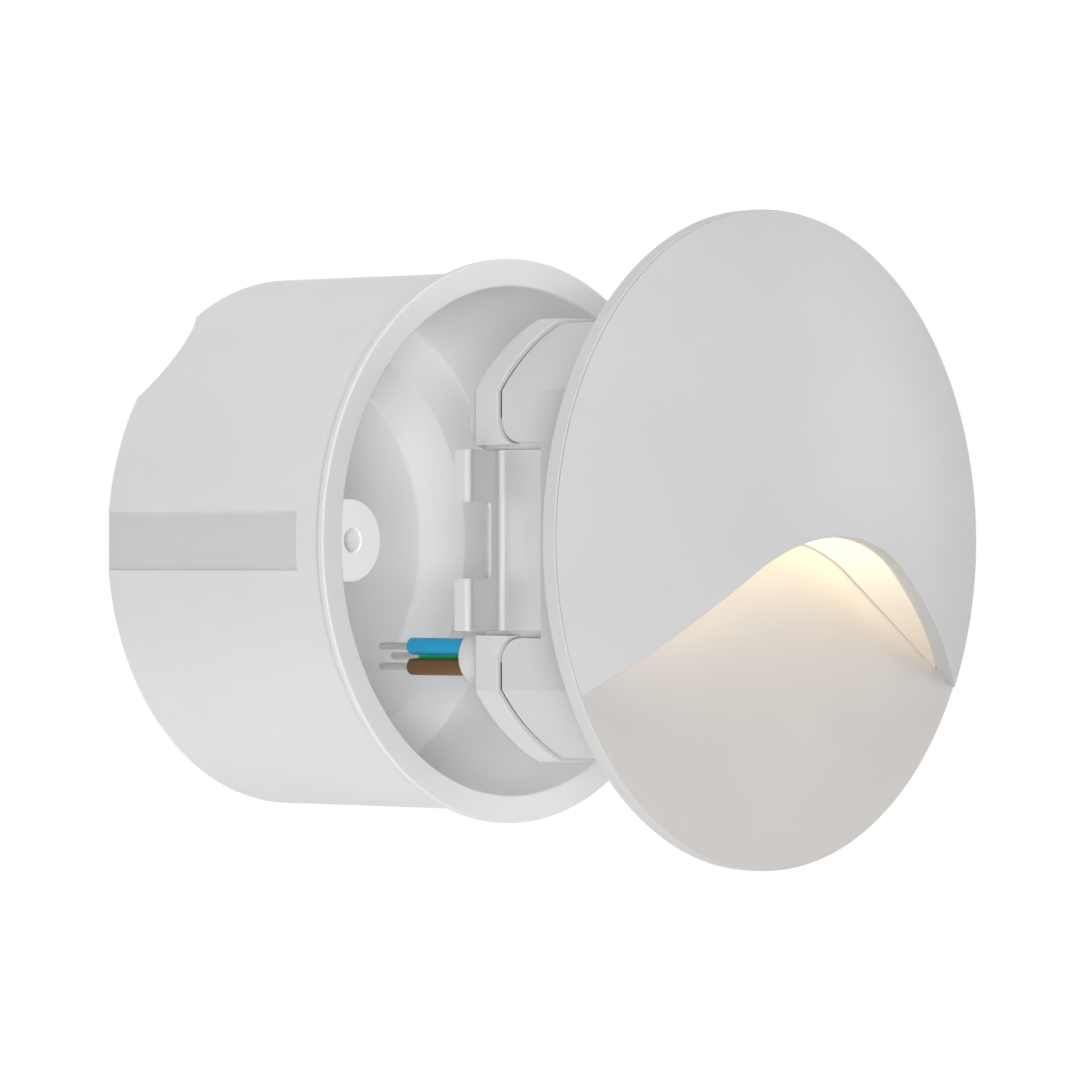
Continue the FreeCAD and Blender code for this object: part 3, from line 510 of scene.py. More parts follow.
# %% Round the corners of an outline
def rounded(points, steps=4):
    """An outline of (x, y, radius) corners, as plain points with an arc at each corner."""
    smooth = []
    for index, (x, y, radius) in enumerate(points):
        corner = Vector((x, y))
        before = Vector(points[index - 1][:2]) - corner
        after = Vector(points[(index + 1) % len(points)][:2]) - corner
        if radius == 0:
            smooth.append(corner)
            continue
        before.normalize()
        after.normalize()
        opening = before.angle(after)
        centre = corner + (before + after).normalized() * radius / math.sin(opening / 2)
        start = corner + before * radius / math.tan(opening / 2) - centre
        turn_left = before.cross(after) > 0
        sweep = (math.pi - opening) * (-1 if turn_left else 1)
        for step in range(steps + 1):
            smooth.append(centre + Matrix.Rotation(sweep * step / steps, 2) @ start)
    return smooth


corner_test = rounded([(0, 0, 1), (4, 0, 1), (4, 3, 1), (0, 3, 1)])
print("a rounded rectangle has", len(corner_test), "points, inside",
      [round(max(p[axis] for p in corner_test), 3) for axis in (0, 1)])

# %% [markdown]
# ## Turned and stacked meshes
# Most pieces of the light are turned or moulded, so two ways of making a mesh are enough. One
# turns an outline about an axis, like a lathe. The other stacks outlines of the same number of
# points, like the slices of a casting. Both are rings of points with quads between them.

# %% Turn an outline about an axis, and stack outlines along one
def skin(bm, rings, closed):
    """Quads between neighbouring rings of points; closed joins the last ring to the first."""
    made = [[bm.verts.new(point) for point in ring] for ring in rings]
    pairs = list(zip(made, made[1:]))
    if closed:
        pairs.append((made[-1], made[0]))
    for ring, after in pairs:
        for index in range(len(ring)):
            follow = (index + 1) % len(ring)
            bm.faces.new((ring[index], ring[follow], after[follow], after[index]))
    return made


def turned(outline, segments, centre=(0, 0)):
    """A solid turned about an axis along Y through centre, from (radius, y) points."""
    bm = bmesh.new()
    rings = []
    for segment in range(segments):
        angle = 2 * math.pi * segment / segments
        rings.append([(centre[0] + radius * math.sin(angle), y,
                       centre[1] + radius * math.cos(angle)) for radius, y in outline])
    skin(bm, rings, closed=True)
    return bm


def sleeve(rings):
    """A solid from rings of points, with a face over the first ring and over the last."""
    bm = bmesh.new()
    made = skin(bm, rings, closed=False)
    bm.faces.new(made[0])
    bm.faces.new(made[-1])
    return bm


def stacked(layers, axis="Y"):
    """A solid from (height, points) layers: (x, z) points along Y, or (y, z) points along X."""
    if axis == "Y":
        return sleeve([[(a, height, b) for a, b in points] for height, points in layers])
    return sleeve([[(height, a, b) for a, b in points] for height, points in layers])


def ring_of(radius, segments, centre=(0, 0)):
    """Points of a circle."""
    return [(centre[0] + radius * math.cos(2 * math.pi * step / segments),
             centre[1] + radius * math.sin(2 * math.pi * step / segments))
            for step in range(segments)]


print("a circle of 8 points starts at", ring_of(1, 8)[0])

# %% [markdown]
# ## From mesh to object, and cutting
# Holes and notches are cut with exact booleans, because those keep flat faces flat. A cutter runs
# a little past the face it opens, and a joined piece sinks a little into what carries it, since
# two faces in one plane confuse a boolean.

# %% Make objects from the meshes, join them and cut them
SUNK = 0.5
HAIR = 0.01
WELD = 0.0005


def solid(bm, name):
    """A scene object from a bmesh in millimetres, with its seams welded and its faces outward."""
    bmesh.ops.remove_doubles(bm, verts=bm.verts, dist=WELD)
    bmesh.ops.dissolve_degenerate(bm, edges=bm.edges, dist=WELD)
    bmesh.ops.recalc_face_normals(bm, faces=bm.faces)
    bmesh.ops.scale(bm, vec=(MM, MM, MM), verts=bm.verts)
    mesh = bpy.data.meshes.new(name)
    bm.to_mesh(mesh)
    bm.free()
    made = bpy.data.objects.new(name, mesh)
    bpy.context.scene.collection.objects.link(made)
    return made


def prism(name, outline, start, end):
    """An outline of (x, z) points, drawn out along Y from start to end."""
    return solid(stacked([(start, outline), (end, outline)]), name)


def rod(name, radius, place, start, end, segments=24):
    """A round bar along Y from start to end."""
    return prism(name, ring_of(radius, segments, place), start, end)


def slab(near, far, half_height):
    """A rectangle seen from the front, from one x to another, half above and half below z = 0."""
    return [(near, -half_height), (far, -half_height), (far, half_height), (near, half_height)]


def combine(base, operation, tools):
    """Joins tools to the base or cuts them out of it, and removes them."""
    for tool in tools:
        modifier = base.modifiers.new(tool.name, "BOOLEAN")
        modifier.object = tool
        modifier.operation = operation
        modifier.solver = "EXACT"
    bpy.context.view_layer.update()
    ready = base.evaluated_get(bpy.context.evaluated_depsgraph_get())
    mesh = bpy.data.meshes.new_from_object(ready)
    base.modifiers.clear()
    base.data = mesh
    for tool in tools:
        bpy.data.objects.remove(tool)


print("cutters run", PAST, "mm past a face, joined pieces sink", SUNK, "mm")

# %% [markdown]
# ## Dressing a piece
# A finished mesh still needs smooth shading between its sharp edges, a material, and the nodes of
# the model that it stands for hidden. Weighted normals let the large faces decide the shading, so
# that a flat face with a rounded edge still looks flat. An edge stays sharp where the surface bends
# by more than its crease, in degrees. Bowed sheet needs a wider one.

# %% Shade a piece and give it its finish
CREASE = 32
BOWED_CREASE = 40


def dress(piece, slot, *nodes, crease=CREASE):
    """Smooth shading between sharp edges, the finish of a slot; hides the nodes it stands for."""
    mesh = piece.data
    mesh.shade_smooth()
    mesh.set_sharp_from_angle(angle=math.radians(crease))
    mesh.materials.clear()
    mesh.materials.append(finishes[slot])
    even = piece.modifiers.new("even_shading", "WEIGHTED_NORMAL")
    even.keep_sharp = True
    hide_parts(*nodes)
    print(piece.name, "has", len(mesh.polygons), "faces")


print("there are", len(finishes), "finishes to dress with")

# %% [markdown]
# ## The wall box
# The box is one moulding: a flange, a barrel that narrows inside, a ledge and a deeper well. They
# are all round, so one outline turned about the axis gives them, and every moulded corner has its
# radius in it. The groove in the floor marks the knockout for a cable.

# %% Turn the barrel
BARREL_TAPER = 0.6
LEDGE_DEPTH = 30.0
LEDGE_FALL = 1.0
LEDGE_WIDTH = 5.7
LEDGE_WALL = 2.0
WELL_TAPER = 3.0
WELL_WALL = 1.8
FLOOR_WALL = 1.6
KNOCKOUT_RADIUS = 10.0
KNOCKOUT_GROOVE = 0.8
WELL_ROUND = 0.8
STEP_ROUND = 0.5
SKIRT_ROUND = 0.4
FLANGE_ROUND = 0.3
ROOT_ROUND = 0.2
GROOVE_ROUND = 0.1

flange_radius = box_high.x
flange_front = box_low.y
box_depth = box_high.y
ledge_edge = mouth_radius - BARREL_TAPER
well_mouth = ledge_edge - LEDGE_WIDTH
well_foot = well_mouth - WELL_TAPER
groove_radius = KNOCKOUT_RADIUS + KNOCKOUT_GROOVE
barrel_outline = rounded([
    (0, box_depth - FLOOR_WALL, 0), (well_foot, box_depth - FLOOR_WALL, WELL_ROUND),
    (well_mouth, LEDGE_DEPTH + LEDGE_FALL, SKIRT_ROUND), (ledge_edge, LEDGE_DEPTH, STEP_ROUND),
    (mouth_radius, flange_front, FLANGE_ROUND), (flange_radius, flange_front, FLANGE_ROUND),
    (flange_radius, 0, ROOT_ROUND), (BARREL_RADIUS, 0, ROOT_ROUND),
    (BARREL_RADIUS, box_depth, SKIRT_ROUND), (mouth_radius, box_depth, SKIRT_ROUND),
    (mouth_radius, LEDGE_DEPTH + LEDGE_WALL, STEP_ROUND),
    (well_mouth + WELL_WALL, LEDGE_DEPTH + LEDGE_FALL + LEDGE_WALL, STEP_ROUND),
    (well_foot + WELL_WALL, box_depth, SKIRT_ROUND), (groove_radius, box_depth, GROOVE_ROUND),
    (groove_radius, box_depth - KNOCKOUT_GROOVE, GROOVE_ROUND),
    (KNOCKOUT_RADIUS, box_depth - KNOCKOUT_GROOVE, GROOVE_ROUND),
    (KNOCKOUT_RADIUS, box_depth, GROOVE_ROUND), (0, box_depth, 0)])
wall_box = solid(turned(barrel_outline, segments=180), "wall_box")
print("the barrel's outline has", len(barrel_outline), "points")

# %% [markdown]
# ## The screw lugs
# Two half-round lugs stand in the mouth of the box and take the screws that hold it to the wall.
# Turning can't make them, so each is stacked from four slices. The outer slices are a little
# smaller, which breaks the lug's edges. Then they are joined to the barrel.

# %% Join the lugs
LUG_X = 30.0
LUG_RADIUS = 5.0
LUG_DEPTH = 5.0
LUG_EDGE = 0.15
LUG_STEPS = 24


def lug_outline(side, inset):
    """A screw lug seen from the front: a half round that points inwards, on a straight root."""
    radius = LUG_RADIUS - inset
    root = side * (mouth_radius + 2 * LUG_EDGE)
    points = []
    for step in range(LUG_STEPS + 1):
        angle = math.pi * step / LUG_STEPS - math.pi / 2
        points.append((side * LUG_X - side * radius * math.cos(angle), radius * math.sin(angle)))
    return points + [(root, radius), (root, -radius)]


lugs = []
for side in (-1, 1):
    slices = [(flange_front, LUG_EDGE), (flange_front + LUG_EDGE, 0),
              (LUG_DEPTH - LUG_EDGE, 0), (LUG_DEPTH, LUG_EDGE)]
    lugs.append(solid(stacked([(y, lug_outline(side, inset)) for y, inset in slices]), "lug"))
combine(wall_box, "UNION", lugs)
print("barrel and lugs:", len(wall_box.data.polygons), "faces")

# %% [markdown]
# ## What is cut out of the box
# Each lug has a screw hole with a broken edge, each side a shallow channel, and the rear edge a
# bite where a conduit comes in. The conduit's cutter is a cylinder that is made along Y and then
# turned to point up and to the left.

# %% Cut the screw holes, the channels and the conduit bite
LUG_HOLE = 1.45
CONDUIT_RADIUS = 11.8
CONDUIT_BITE = 2.9

cutters = []
for side in (-1, 1):
    cone = ring_of(LUG_HOLE + PAST + LUG_EDGE, 32, (side * LUG_X, 0))
    hole = ring_of(LUG_HOLE, 32, (side * LUG_X, 0))
    cutters.append(solid(stacked([(flange_front - PAST, cone), (flange_front + LUG_EDGE, hole),
                                  (LUG_DEPTH + PAST, hole)]), "screw_hole"))
    upright = slab(side * (BARREL_RADIUS - CHANNEL_DEPTH), side * (flange_radius + PAST),
                   CHANNEL_HALF_HEIGHT)
    cutters.append(prism("channel", upright, CHANNEL_START, box_depth + PAST))

conduit_ring = ring_of(CONDUIT_RADIUS, 96)
conduit = stacked([(0, conduit_ring), (flange_radius - well_mouth, conduit_ring)])
up_and_left = Vector((-1, 0, 1)).normalized()
aim_outwards = Vector((0, 1, 0)).rotation_difference(up_and_left).to_matrix().to_4x4()
start = up_and_left * (well_mouth + WELL_WALL + BARREL_WALL / 2)
start.y = box_depth + CONDUIT_RADIUS - CONDUIT_BITE
bmesh.ops.transform(conduit, matrix=Matrix.Translation(start) @ aim_outwards, verts=conduit.verts)
cutters.append(solid(conduit, "conduit"))
combine(wall_box, "DIFFERENCE", cutters)
dress(wall_box, "box_plastic", "mounting_box")
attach(wall_box, "box")

# %% [markdown]
# ## The lamp housing: plate and drum
# Plate and drum are one casting. The drum is a circle with two upright and two level flats, so that
# it passes between the lugs. Its inside follows the same line, but is narrower, to leave a wall
# behind the notches of the clips. One function draws them all, grown or shrunk.

# %% Outline of drum and cap
DRUM_RADIUS = 29.0
DRUM_HALF_WIDTH = 22.7
DRUM_HALF_HEIGHT = 26.6
DRUM_WALL = 1.8
DRUM_ARC_STEPS = 18
NOTCH_DEPTH = 1.3

drum_end = housing_high.y
notch_floor = DRUM_HALF_WIDTH - NOTCH_DEPTH


def flatted(grow=0.0, half_width=DRUM_HALF_WIDTH):
    """The drum's outline, grown or shrunk: a circle cut by upright and level flats."""
    radius = DRUM_RADIUS + grow
    low = math.acos((half_width + grow) / radius)
    high = math.asin((DRUM_HALF_HEIGHT + grow) / radius)
    angles = [low + (high - low) * step / DRUM_ARC_STEPS for step in range(DRUM_ARC_STEPS + 1)]
    arc = [(radius * math.cos(angle), radius * math.sin(angle)) for angle in angles]
    return (arc + [(-x, z) for x, z in reversed(arc)]
            + [(-x, -z) for x, z in arc] + [(x, -z) for x, z in reversed(arc)])


def hollow_outline(shrink=0.0):
    """The inside of the drum, which is narrower to leave a wall behind the notches."""
    return flatted(-DRUM_WALL - shrink, half_width=notch_floor)


print("drum outline:", len(flatted()), "points, drum ends at y =", round(drum_end, 2), "mm")

# %% [markdown]
# ## Casting the housing
# The plate is turned, with a softly broken rim, and the drum is stacked on it and hollowed out.
# Four bosses then stand in the hollow for the screws of the cap, and two posts for the driver
# board. They come after the hollow, or it would cut them away.

# %% Cast the housing
PLATE_THICKNESS = 2.0
PLATE_AND_FLOOR = 3.6
RIM_EDGE = 0.2
SEAM_EDGE = 0.06
BOSS_RADIUS = 2.9
POST_RADIUS = 2.4
POST_X = 15.5
CAP_SCREW_REACH = 24.45
CAP_SCREW_ANGLE = math.radians(60)
CAP_BOSS_DEPTH = 2.0

driver_low, _ = size_of("driver_board")
plate_rear = plate_front + PLATE_THICKNESS
floor_inside = plate_front + PLATE_AND_FLOOR
boss_end = drum_end - CAP_BOSS_DEPTH
cap_screw_places = [(right * CAP_SCREW_REACH * math.cos(CAP_SCREW_ANGLE),
                     up * CAP_SCREW_REACH * math.sin(CAP_SCREW_ANGLE))
                    for right, up in ((1, 1), (-1, 1), (-1, -1), (1, -1))]
post_places = [(POST_X, 0), (-POST_X, 0)]
plate_outline = rounded([(0, plate_rear, 0), (0, plate_front, 0),
                         (housing_high.x, plate_front, RIM_EDGE),
                         (housing_high.x, plate_rear, RIM_EDGE)])
housing = solid(turned(plate_outline, segments=240), "lamp_housing")
drum = solid(stacked([(plate_rear - SUNK, flatted()), (drum_end - SEAM_EDGE, flatted()),
                      (drum_end, flatted(-SEAM_EDGE))]), "drum")
combine(housing, "UNION", [drum])
combine(housing, "DIFFERENCE", [prism("hollow", hollow_outline(), floor_inside, drum_end + PAST)])
inner = [rod("boss", BOSS_RADIUS, place, floor_inside - SUNK, boss_end, segments=32)
         for place in cap_screw_places]
inner += [rod("post", POST_RADIUS, place, floor_inside - SUNK, driver_low.y, segments=32)
          for place in post_places]
combine(housing, "UNION", inner)
print("housing with bosses and posts:", len(housing.data.polygons), "faces")

# %% [markdown]
# ## The notches for the clips
# Each side of the drum has a notch that holds the flat root of a spring clip. Its mouth opens in a
# quarter round at the drum's end, above and below. It is cut from the side, so its outline is drawn
# in y and z, and stacked along X.

# %% Shape the cutters of the notches
NOTCH_LENGTH = 6.3
NOTCH_HALF_HEIGHT = 11.8
NOTCH_CORNER = 3.0
MOUTH_STEPS = 8

mouth_arc = []
for step in range(MOUTH_STEPS + 1):
    angle = math.pi / 2 * step / MOUTH_STEPS
    mouth_arc.append((drum_end - NOTCH_CORNER + NOTCH_CORNER * math.sin(angle),
                      NOTCH_HALF_HEIGHT + NOTCH_CORNER - NOTCH_CORNER * math.cos(angle)))
upper_half = ([(drum_end - NOTCH_LENGTH, NOTCH_HALF_HEIGHT)] + mouth_arc
              + [(drum_end + PAST, NOTCH_HALF_HEIGHT + NOTCH_CORNER)])
notch = upper_half + [(y, -z) for y, z in reversed(upper_half)]
cutters = []
for side in (-1, 1):
    cutters.append(solid(stacked([(side * notch_floor, notch),
                                  (side * (DRUM_HALF_WIDTH + PAST), notch)], axis="X"), "notch"))
print("a notch is", NOTCH_LENGTH, "mm long and", 2 * NOTCH_HALF_HEIGHT, "mm tall")

# %% [markdown]
# ## The bores and the seat of the light board
# Bosses and posts get a bore for their screw. The light board lies in a pocket of the plate, a slot
# with round ends, and its screws and leads go through the plate behind it. All these are cut in one
# go with the notches.

# %% Cut the notches, the bores and the seat
SCREW_BORE = 1.25
SCREW_BITE = 4.0
BOARD_GAP = 0.05
BOARD_SCREW_X = 15.0
LEAD_X = 1.5
LEAD_BORE = 0.65

for places, end in ((cap_screw_places, boss_end), (post_places, driver_low.y)):
    for place in places:
        cutters.append(rod("bore", SCREW_BORE, place, end - SCREW_BITE, end + SUNK))
board_low, board_high = size_of("led_board")
_, pad_high = size_of("thermal_pad")
board_z = (board_low.z + board_high.z) / 2
seat_half_height = (board_high.z - board_low.z) / 2 + BOARD_GAP
seat_half_length = board_high.x + BOARD_GAP
corners = slab(-seat_half_length, seat_half_length, seat_half_height)
seat = rounded([(x, z, seat_half_height - HAIR) for x, z in corners], steps=8)
cutters.append(prism("board_seat", [(x, board_z + z) for x, z in seat], plate_front - PAST,
                     pad_high.y))
for x, radius in ((BOARD_SCREW_X, SCREW_BORE), (-BOARD_SCREW_X, SCREW_BORE),
                  (LEAD_X, LEAD_BORE), (-LEAD_X, LEAD_BORE)):
    cutters.append(rod("through", radius, (x, board_z), plate_front - PAST, floor_inside + PAST))
combine(housing, "DIFFERENCE", cutters)
dress(housing, "housing_paint", "front_housing")
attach(housing, "lamp")

# %% [markdown]
# ## The bell line
# The hood is a shallow dome with a bell-shaped piece cut out of its lower half. The line of that
# cut is an arc with a straight run down from each of its ends. The hood and the frosted wall under
# it both follow it, the hood a little further out, so it is written once, with an offset.

# %% The bell line and the dome
HOOD_RIM_HEIGHT = 0.2
BELL_TOP = 0.15
BELL_RADIUS = 25.5
BELL_ANGLE = math.radians(34.3)
HALVINGS = 50
LIP_GAP = 0.2

hood_low, hood_high = size_of("hood")
hood_radius = hood_high.z
dome_rise = plate_front - HOOD_RIM_HEIGHT - hood_low.y
dome_radius = (hood_radius ** 2 + dome_rise ** 2) / (2 * dome_rise)
dome_centre = hood_low.y + dome_radius


def bell_point(distance, offset):
    """A point (x, z) on the bell line and its outward normal. distance is measured along the line
    of the opening from its top, to the right when positive; offset moves the line outwards."""
    side = -1 if distance < 0 else 1
    run = abs(distance)
    bow = BELL_RADIUS * BELL_ANGLE
    angle = min(run / BELL_RADIUS, BELL_ANGLE)
    normal = Vector((side * math.sin(angle), math.cos(angle)))
    point = Vector((0, BELL_TOP - BELL_RADIUS)) + normal * (BELL_RADIUS + offset)
    if run > bow:
        point += Vector((side * math.cos(BELL_ANGLE), -math.sin(BELL_ANGLE))) * (run - bow)
    return point, normal


def bell_reach(radius, offset):
    """How far along the bell line, from its top, the line comes to a circle about the axis."""
    low, high = 0.0, 4 * BELL_RADIUS
    for _ in range(HALVINGS):
        middle = (low + high) / 2
        if bell_point(middle, offset)[0].length < radius:
            low = middle
        else:
            high = middle
    return low


def on_dome(point, radius):
    """The y at which a sphere about the dome's centre stands over a point (x, z)."""
    return dome_centre - math.sqrt(radius ** 2 - point.length_squared)


print("dome radius", round(dome_radius, 1), "mm; the bell line meets the rim",
      round(bell_reach(hood_radius, LIP_GAP), 1), "mm from its top")

# %% [markdown]
# ## The hood
# A cut with a boolean would leave slivers along the curved lip, just where the light plays. So the
# dome is laid out as a net instead. Each column starts at the rim, runs over the dome to the bell
# line, turns round the lip and comes back inside, and its points are lifted onto the outer or the
# inner sphere. The lip gets its own rows, with a round outer edge, which shrink where the hood runs
# out in a tip.

# %% Net the hood
HOOD_WALL = 2.0
COLUMNS = 200
ROWS = 44
BLUNT_TIP = 0.15
LIP_ROUND = 0.12
LIP_INNER_ROUND = 0.1
LIP_ROUND_SHARE = 0.4
LIP_INNER_SHARE = 0.2
LIP_STEPS = 5
LIP_INNER_STEPS = 3

lip_end = bell_reach(hood_radius, LIP_GAP) - BLUNT_TIP
tip, _ = bell_point(lip_end, LIP_GAP)
tip_angle = math.atan2(tip.x, tip.y) - BLUNT_TIP / hood_radius


def hood_column(share):
    """One closed ring of the net. share goes from -1 at the left tip to 1 at the right one."""
    edge_point, normal = bell_point(lip_end * share, LIP_GAP)
    rim_point = Vector((math.sin(tip_angle * share), math.cos(tip_angle * share))) * hood_radius
    height = plate_front - on_dome(edge_point, dome_radius)
    lip_round = min(LIP_ROUND, height * LIP_ROUND_SHARE)
    inner_round = min(LIP_INNER_ROUND, height * LIP_INNER_SHARE)
    ring = [(rim_point, plate_front)]
    for row in range(ROWS + 1):
        point = rim_point.lerp(edge_point + normal * lip_round, row / ROWS)
        ring.append((point, on_dome(point, dome_radius)))
    for step in range(1, LIP_STEPS + 1):
        angle = math.pi / 2 * step / LIP_STEPS
        point = edge_point + normal * lip_round * (1 - math.sin(angle))
        ring.append((point, on_dome(point, dome_radius) + lip_round * (1 - math.cos(angle))))
    for step in range(LIP_INNER_STEPS + 1):
        angle = math.pi / 2 * step / LIP_INNER_STEPS
        point = edge_point + normal * inner_round * (1 - math.cos(angle))
        inside = min(plate_front, on_dome(point, dome_radius - HOOD_WALL))
        ring.append((point, inside - inner_round * (1 - math.sin(angle))))
    for row in range(1, ROWS):
        point = (edge_point + normal * inner_round).lerp(rim_point, row / ROWS)
        ring.append((point, min(plate_front, on_dome(point, dome_radius - HOOD_WALL))))
    return [(point.x, y, point.y) for point, y in ring]


shares = [2 * column / COLUMNS - 1 for column in range(COLUMNS + 1)]
hood = solid(sleeve([hood_column(share) for share in shares]), "hood_shell")
dress(hood, "hood_paint", "hood", crease=BOWED_CREASE)
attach(hood, "lamp")

# %% [markdown]
# ## The frosted wall
# Behind the lip stands a thin wall of frosted plastic. The chips shine through it onto the lower
# half of the plate. It follows the bell line, without the gap, and ends just under the dome, so it
# is a net of the same kind with four points to a column.

# %% Raise the wall along the bell line
WALL_THICKNESS = 1.6
WALL_GAP = 0.05

_, wall_high = size_of("diffuser")
wall_foot = wall_high.y
crest = wall_foot - BLUNT_TIP / 4
inner_dome = dome_radius - HOOD_WALL - WALL_GAP
foot_radius = math.sqrt(inner_dome ** 2 - (dome_centre - wall_foot) ** 2)
wall_end = bell_reach(foot_radius, 0) - BLUNT_TIP


def wall_column(share):
    """One ring of the net: the wall's front from foot to top, then its back."""
    front, normal = bell_point(wall_end * share, 0)
    thickness = min(WALL_THICKNESS, max(BLUNT_TIP / 2, foot_radius - front.length))
    back = front + normal * thickness
    ring = [(front, wall_foot), (front, min(crest, on_dome(front, inner_dome))),
            (back, min(crest, on_dome(back, inner_dome))), (back, wall_foot)]
    return [(point.x, y, point.y) for point, y in ring]


frosted_wall = solid(sleeve([wall_column(share) for share in shares]), "frosted_wall")
dress(frosted_wall, "diffuser", "diffuser")
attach(frosted_wall, "lamp")

# %% [markdown]
# ## The rear cap
# The cap closes the drum. It is half a millimetre prouder than the drum all round, so a step shows
# at the seam, and its rear edge is softly rounded. A spigot reaches into the drum and centres it.
# Both are stacked from the drum's own outline, so cap and drum always match.

# %% Mould the cap
CAP_STEP = 0.55
SEAM = 0.26
CAP_FLOOR = 1.8
CAP_WALL = 1.3
CAP_EDGE = 0.5
CAP_EDGE_STEPS = 6
SPIGOT_GAP = 0.1
CAP_BOSS_RADIUS = 2.4

cap_low, cap_high = size_of("rear_cap")
cap_front = drum_end + SEAM
cap_rear = cap_high.y
cap_inside = cap_rear - CAP_FLOOR
layers = [(cap_front, flatted(CAP_STEP - SEAM_EDGE)), (cap_front + SEAM_EDGE, flatted(CAP_STEP))]
for step in range(CAP_EDGE_STEPS + 1):
    angle = math.pi / 2 * step / CAP_EDGE_STEPS
    layers.append((cap_rear - CAP_EDGE * (1 - math.sin(angle)),
                   flatted(CAP_STEP - CAP_EDGE * (1 - math.cos(angle)))))
cap = solid(stacked(layers), "rear_cap_shell")
combine(cap, "UNION", [prism("spigot", hollow_outline(SPIGOT_GAP), cap_low.y, cap_front + SUNK)])
room = prism("room", hollow_outline(CAP_WALL + SPIGOT_GAP), cap_low.y - PAST, cap_inside)
combine(cap, "DIFFERENCE", [room])
combine(cap, "UNION", [rod("boss", CAP_BOSS_RADIUS, place, boss_end + SPIGOT_GAP,
                           cap_inside + SUNK, segments=32) for place in cap_screw_places])
print("cap with spigot and bosses:", len(cap.data.polygons), "faces")

# %% [markdown]
# ## The tongues of the cap
# Four short tongues fill the rounded mouths of the notches, so that only an even seam is left.
# Their bow runs about the same centre as the notch's, with a radius larger by the seam.

# %% Add the tongues
TONGUE_REACH = 2.0
TONGUE_STEPS = 8

cap_notch = NOTCH_HALF_HEIGHT - SEAM
bow = NOTCH_CORNER + SEAM
bow_y, bow_z = drum_end - NOTCH_CORNER, NOTCH_HALF_HEIGHT + NOTCH_CORNER
sweep = math.acos((NOTCH_CORNER - TONGUE_REACH) / bow)
tongues = []
for side in (-1, 1):
    for up in (-1, 1):
        profile = []
        for step in range(TONGUE_STEPS + 1):
            angle = sweep * step / TONGUE_STEPS
            profile.append((bow_y + bow * math.cos(angle), up * (bow_z - bow * math.sin(angle))))
        profile += [(profile[-1][0], up * cap_notch), (cap_front + SUNK, up * cap_notch),
                    (cap_front + SUNK, up * bow_z)]
        tongues.append(solid(stacked([
            (side * (notch_floor + SEAM), profile),
            (side * (DRUM_HALF_WIDTH + CAP_STEP - HAIR), profile)], axis="X"), "tongue"))
combine(cap, "UNION", tongues)
print("the tongues reach", TONGUE_REACH, "mm into the notches")

# %% [markdown]
# ## What is cut out of the cap
# The notches of the clips go on through the cap. Four bores take its screws, and two round entries
# with a flared mouth take the cable and the stopper above it.

# %% Cut the cap
CLIP_THICKNESS = 0.5
ENTRY_GAP = 0.1
ENTRY_FLARE = 0.35

plug_low, plug_high = size_of("blanking_plug")
sheath_low, sheath_high = size_of("cable_sheath")
sheath_radius = (sheath_high.x - sheath_low.x) / 2
plug_place = ((plug_low.x + plug_high.x) / 2, (plug_low.z + plug_high.z) / 2)
sheath_place = ((sheath_low.x + sheath_high.x) / 2, (sheath_low.z + sheath_high.z) / 2)
entry = sheath_radius + ENTRY_GAP
cutters = []
for side in (-1, 1):
    gate = slab(side * (notch_floor - CLIP_THICKNESS), side * (DRUM_HALF_WIDTH + 2 * PAST),
                cap_notch)
    cutters.append(prism("gate", gate, cap_front - SPIGOT_GAP, cap_rear + PAST))
for place in cap_screw_places:
    cutters.append(rod("bore", SCREW_BORE, place, boss_end - PAST, cap_rear + PAST))
for place in (plug_place, sheath_place):
    straight = ring_of(entry, 64, place)
    flared = ring_of(entry + ENTRY_FLARE + PAST, 64, place)
    cutters.append(solid(stacked([(cap_low.y - PAST, straight), (cap_rear - ENTRY_FLARE, straight),
                                  (cap_rear + PAST, flared)]), "entry"))
combine(cap, "DIFFERENCE", cutters)
dress(cap, "cap_plastic", "rear_cap")
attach(cap, "lamp")

# %% [markdown]
# ## The seal in the seam
# A flat rubber ring is pinched between drum and cap, and shows as a dark line. It is stamped out of
# a sheet: the drum's outline, a little smaller, with the hollow cut out. It stops short of the
# notches, where the tongues of the cap take its place.

# %% Stamp the seal
SEAL_INSET = 0.12
SEAL_LAND = 0.9

seal = prism("cap_seal", flatted(-SEAL_INSET), drum_end + HAIR, cap_front - HAIR)
cutters = [prism("middle", hollow_outline(-SEAL_LAND), drum_end - PAST, cap_front + PAST)]
for side in (-1, 1):
    gate = slab(side * (notch_floor - 2 * PAST), side * (DRUM_HALF_WIDTH + PAST), bow_z)
    cutters.append(prism("gate", gate, drum_end - PAST, cap_front + PAST))
combine(seal, "DIFFERENCE", cutters)
dress(seal, "seal", "cap_gasket")
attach(seal, "lamp")

# %% [markdown]
# ## Screws in the cap
# Four pan-head screws with a cross recess hold the cap. They show from behind. The head is turned
# from one rounded outline, and two crossed slots are cut into it. Nobody stops four screws at the
# same angle, so each cross is turned a little further than the last. The model holds them as one
# node, so they are gathered into one mesh.

# %% Turn the four screws
HEAD_RADIUS = 2.1
HEAD_HEIGHT = 1.5
HEAD_CROWN = 0.9
HEAD_EDGE = 0.15
SHANK_RADIUS = 1.2
SHANK_TIP = 0.4
SHANK_CLEARANCE = 0.2
RECESS_LENGTH = 2.4
RECESS_WIDTH = 0.55
RECESS_DEPTH = 0.9
RECESS_TURN = 20


def gathered(pieces):
    """One bmesh out of several."""
    whole = bmesh.new()
    for one in pieces:
        mesh = bpy.data.meshes.new("one")
        one.to_mesh(mesh)
        one.free()
        whole.from_mesh(mesh)
        bpy.data.meshes.remove(mesh)
    return whole


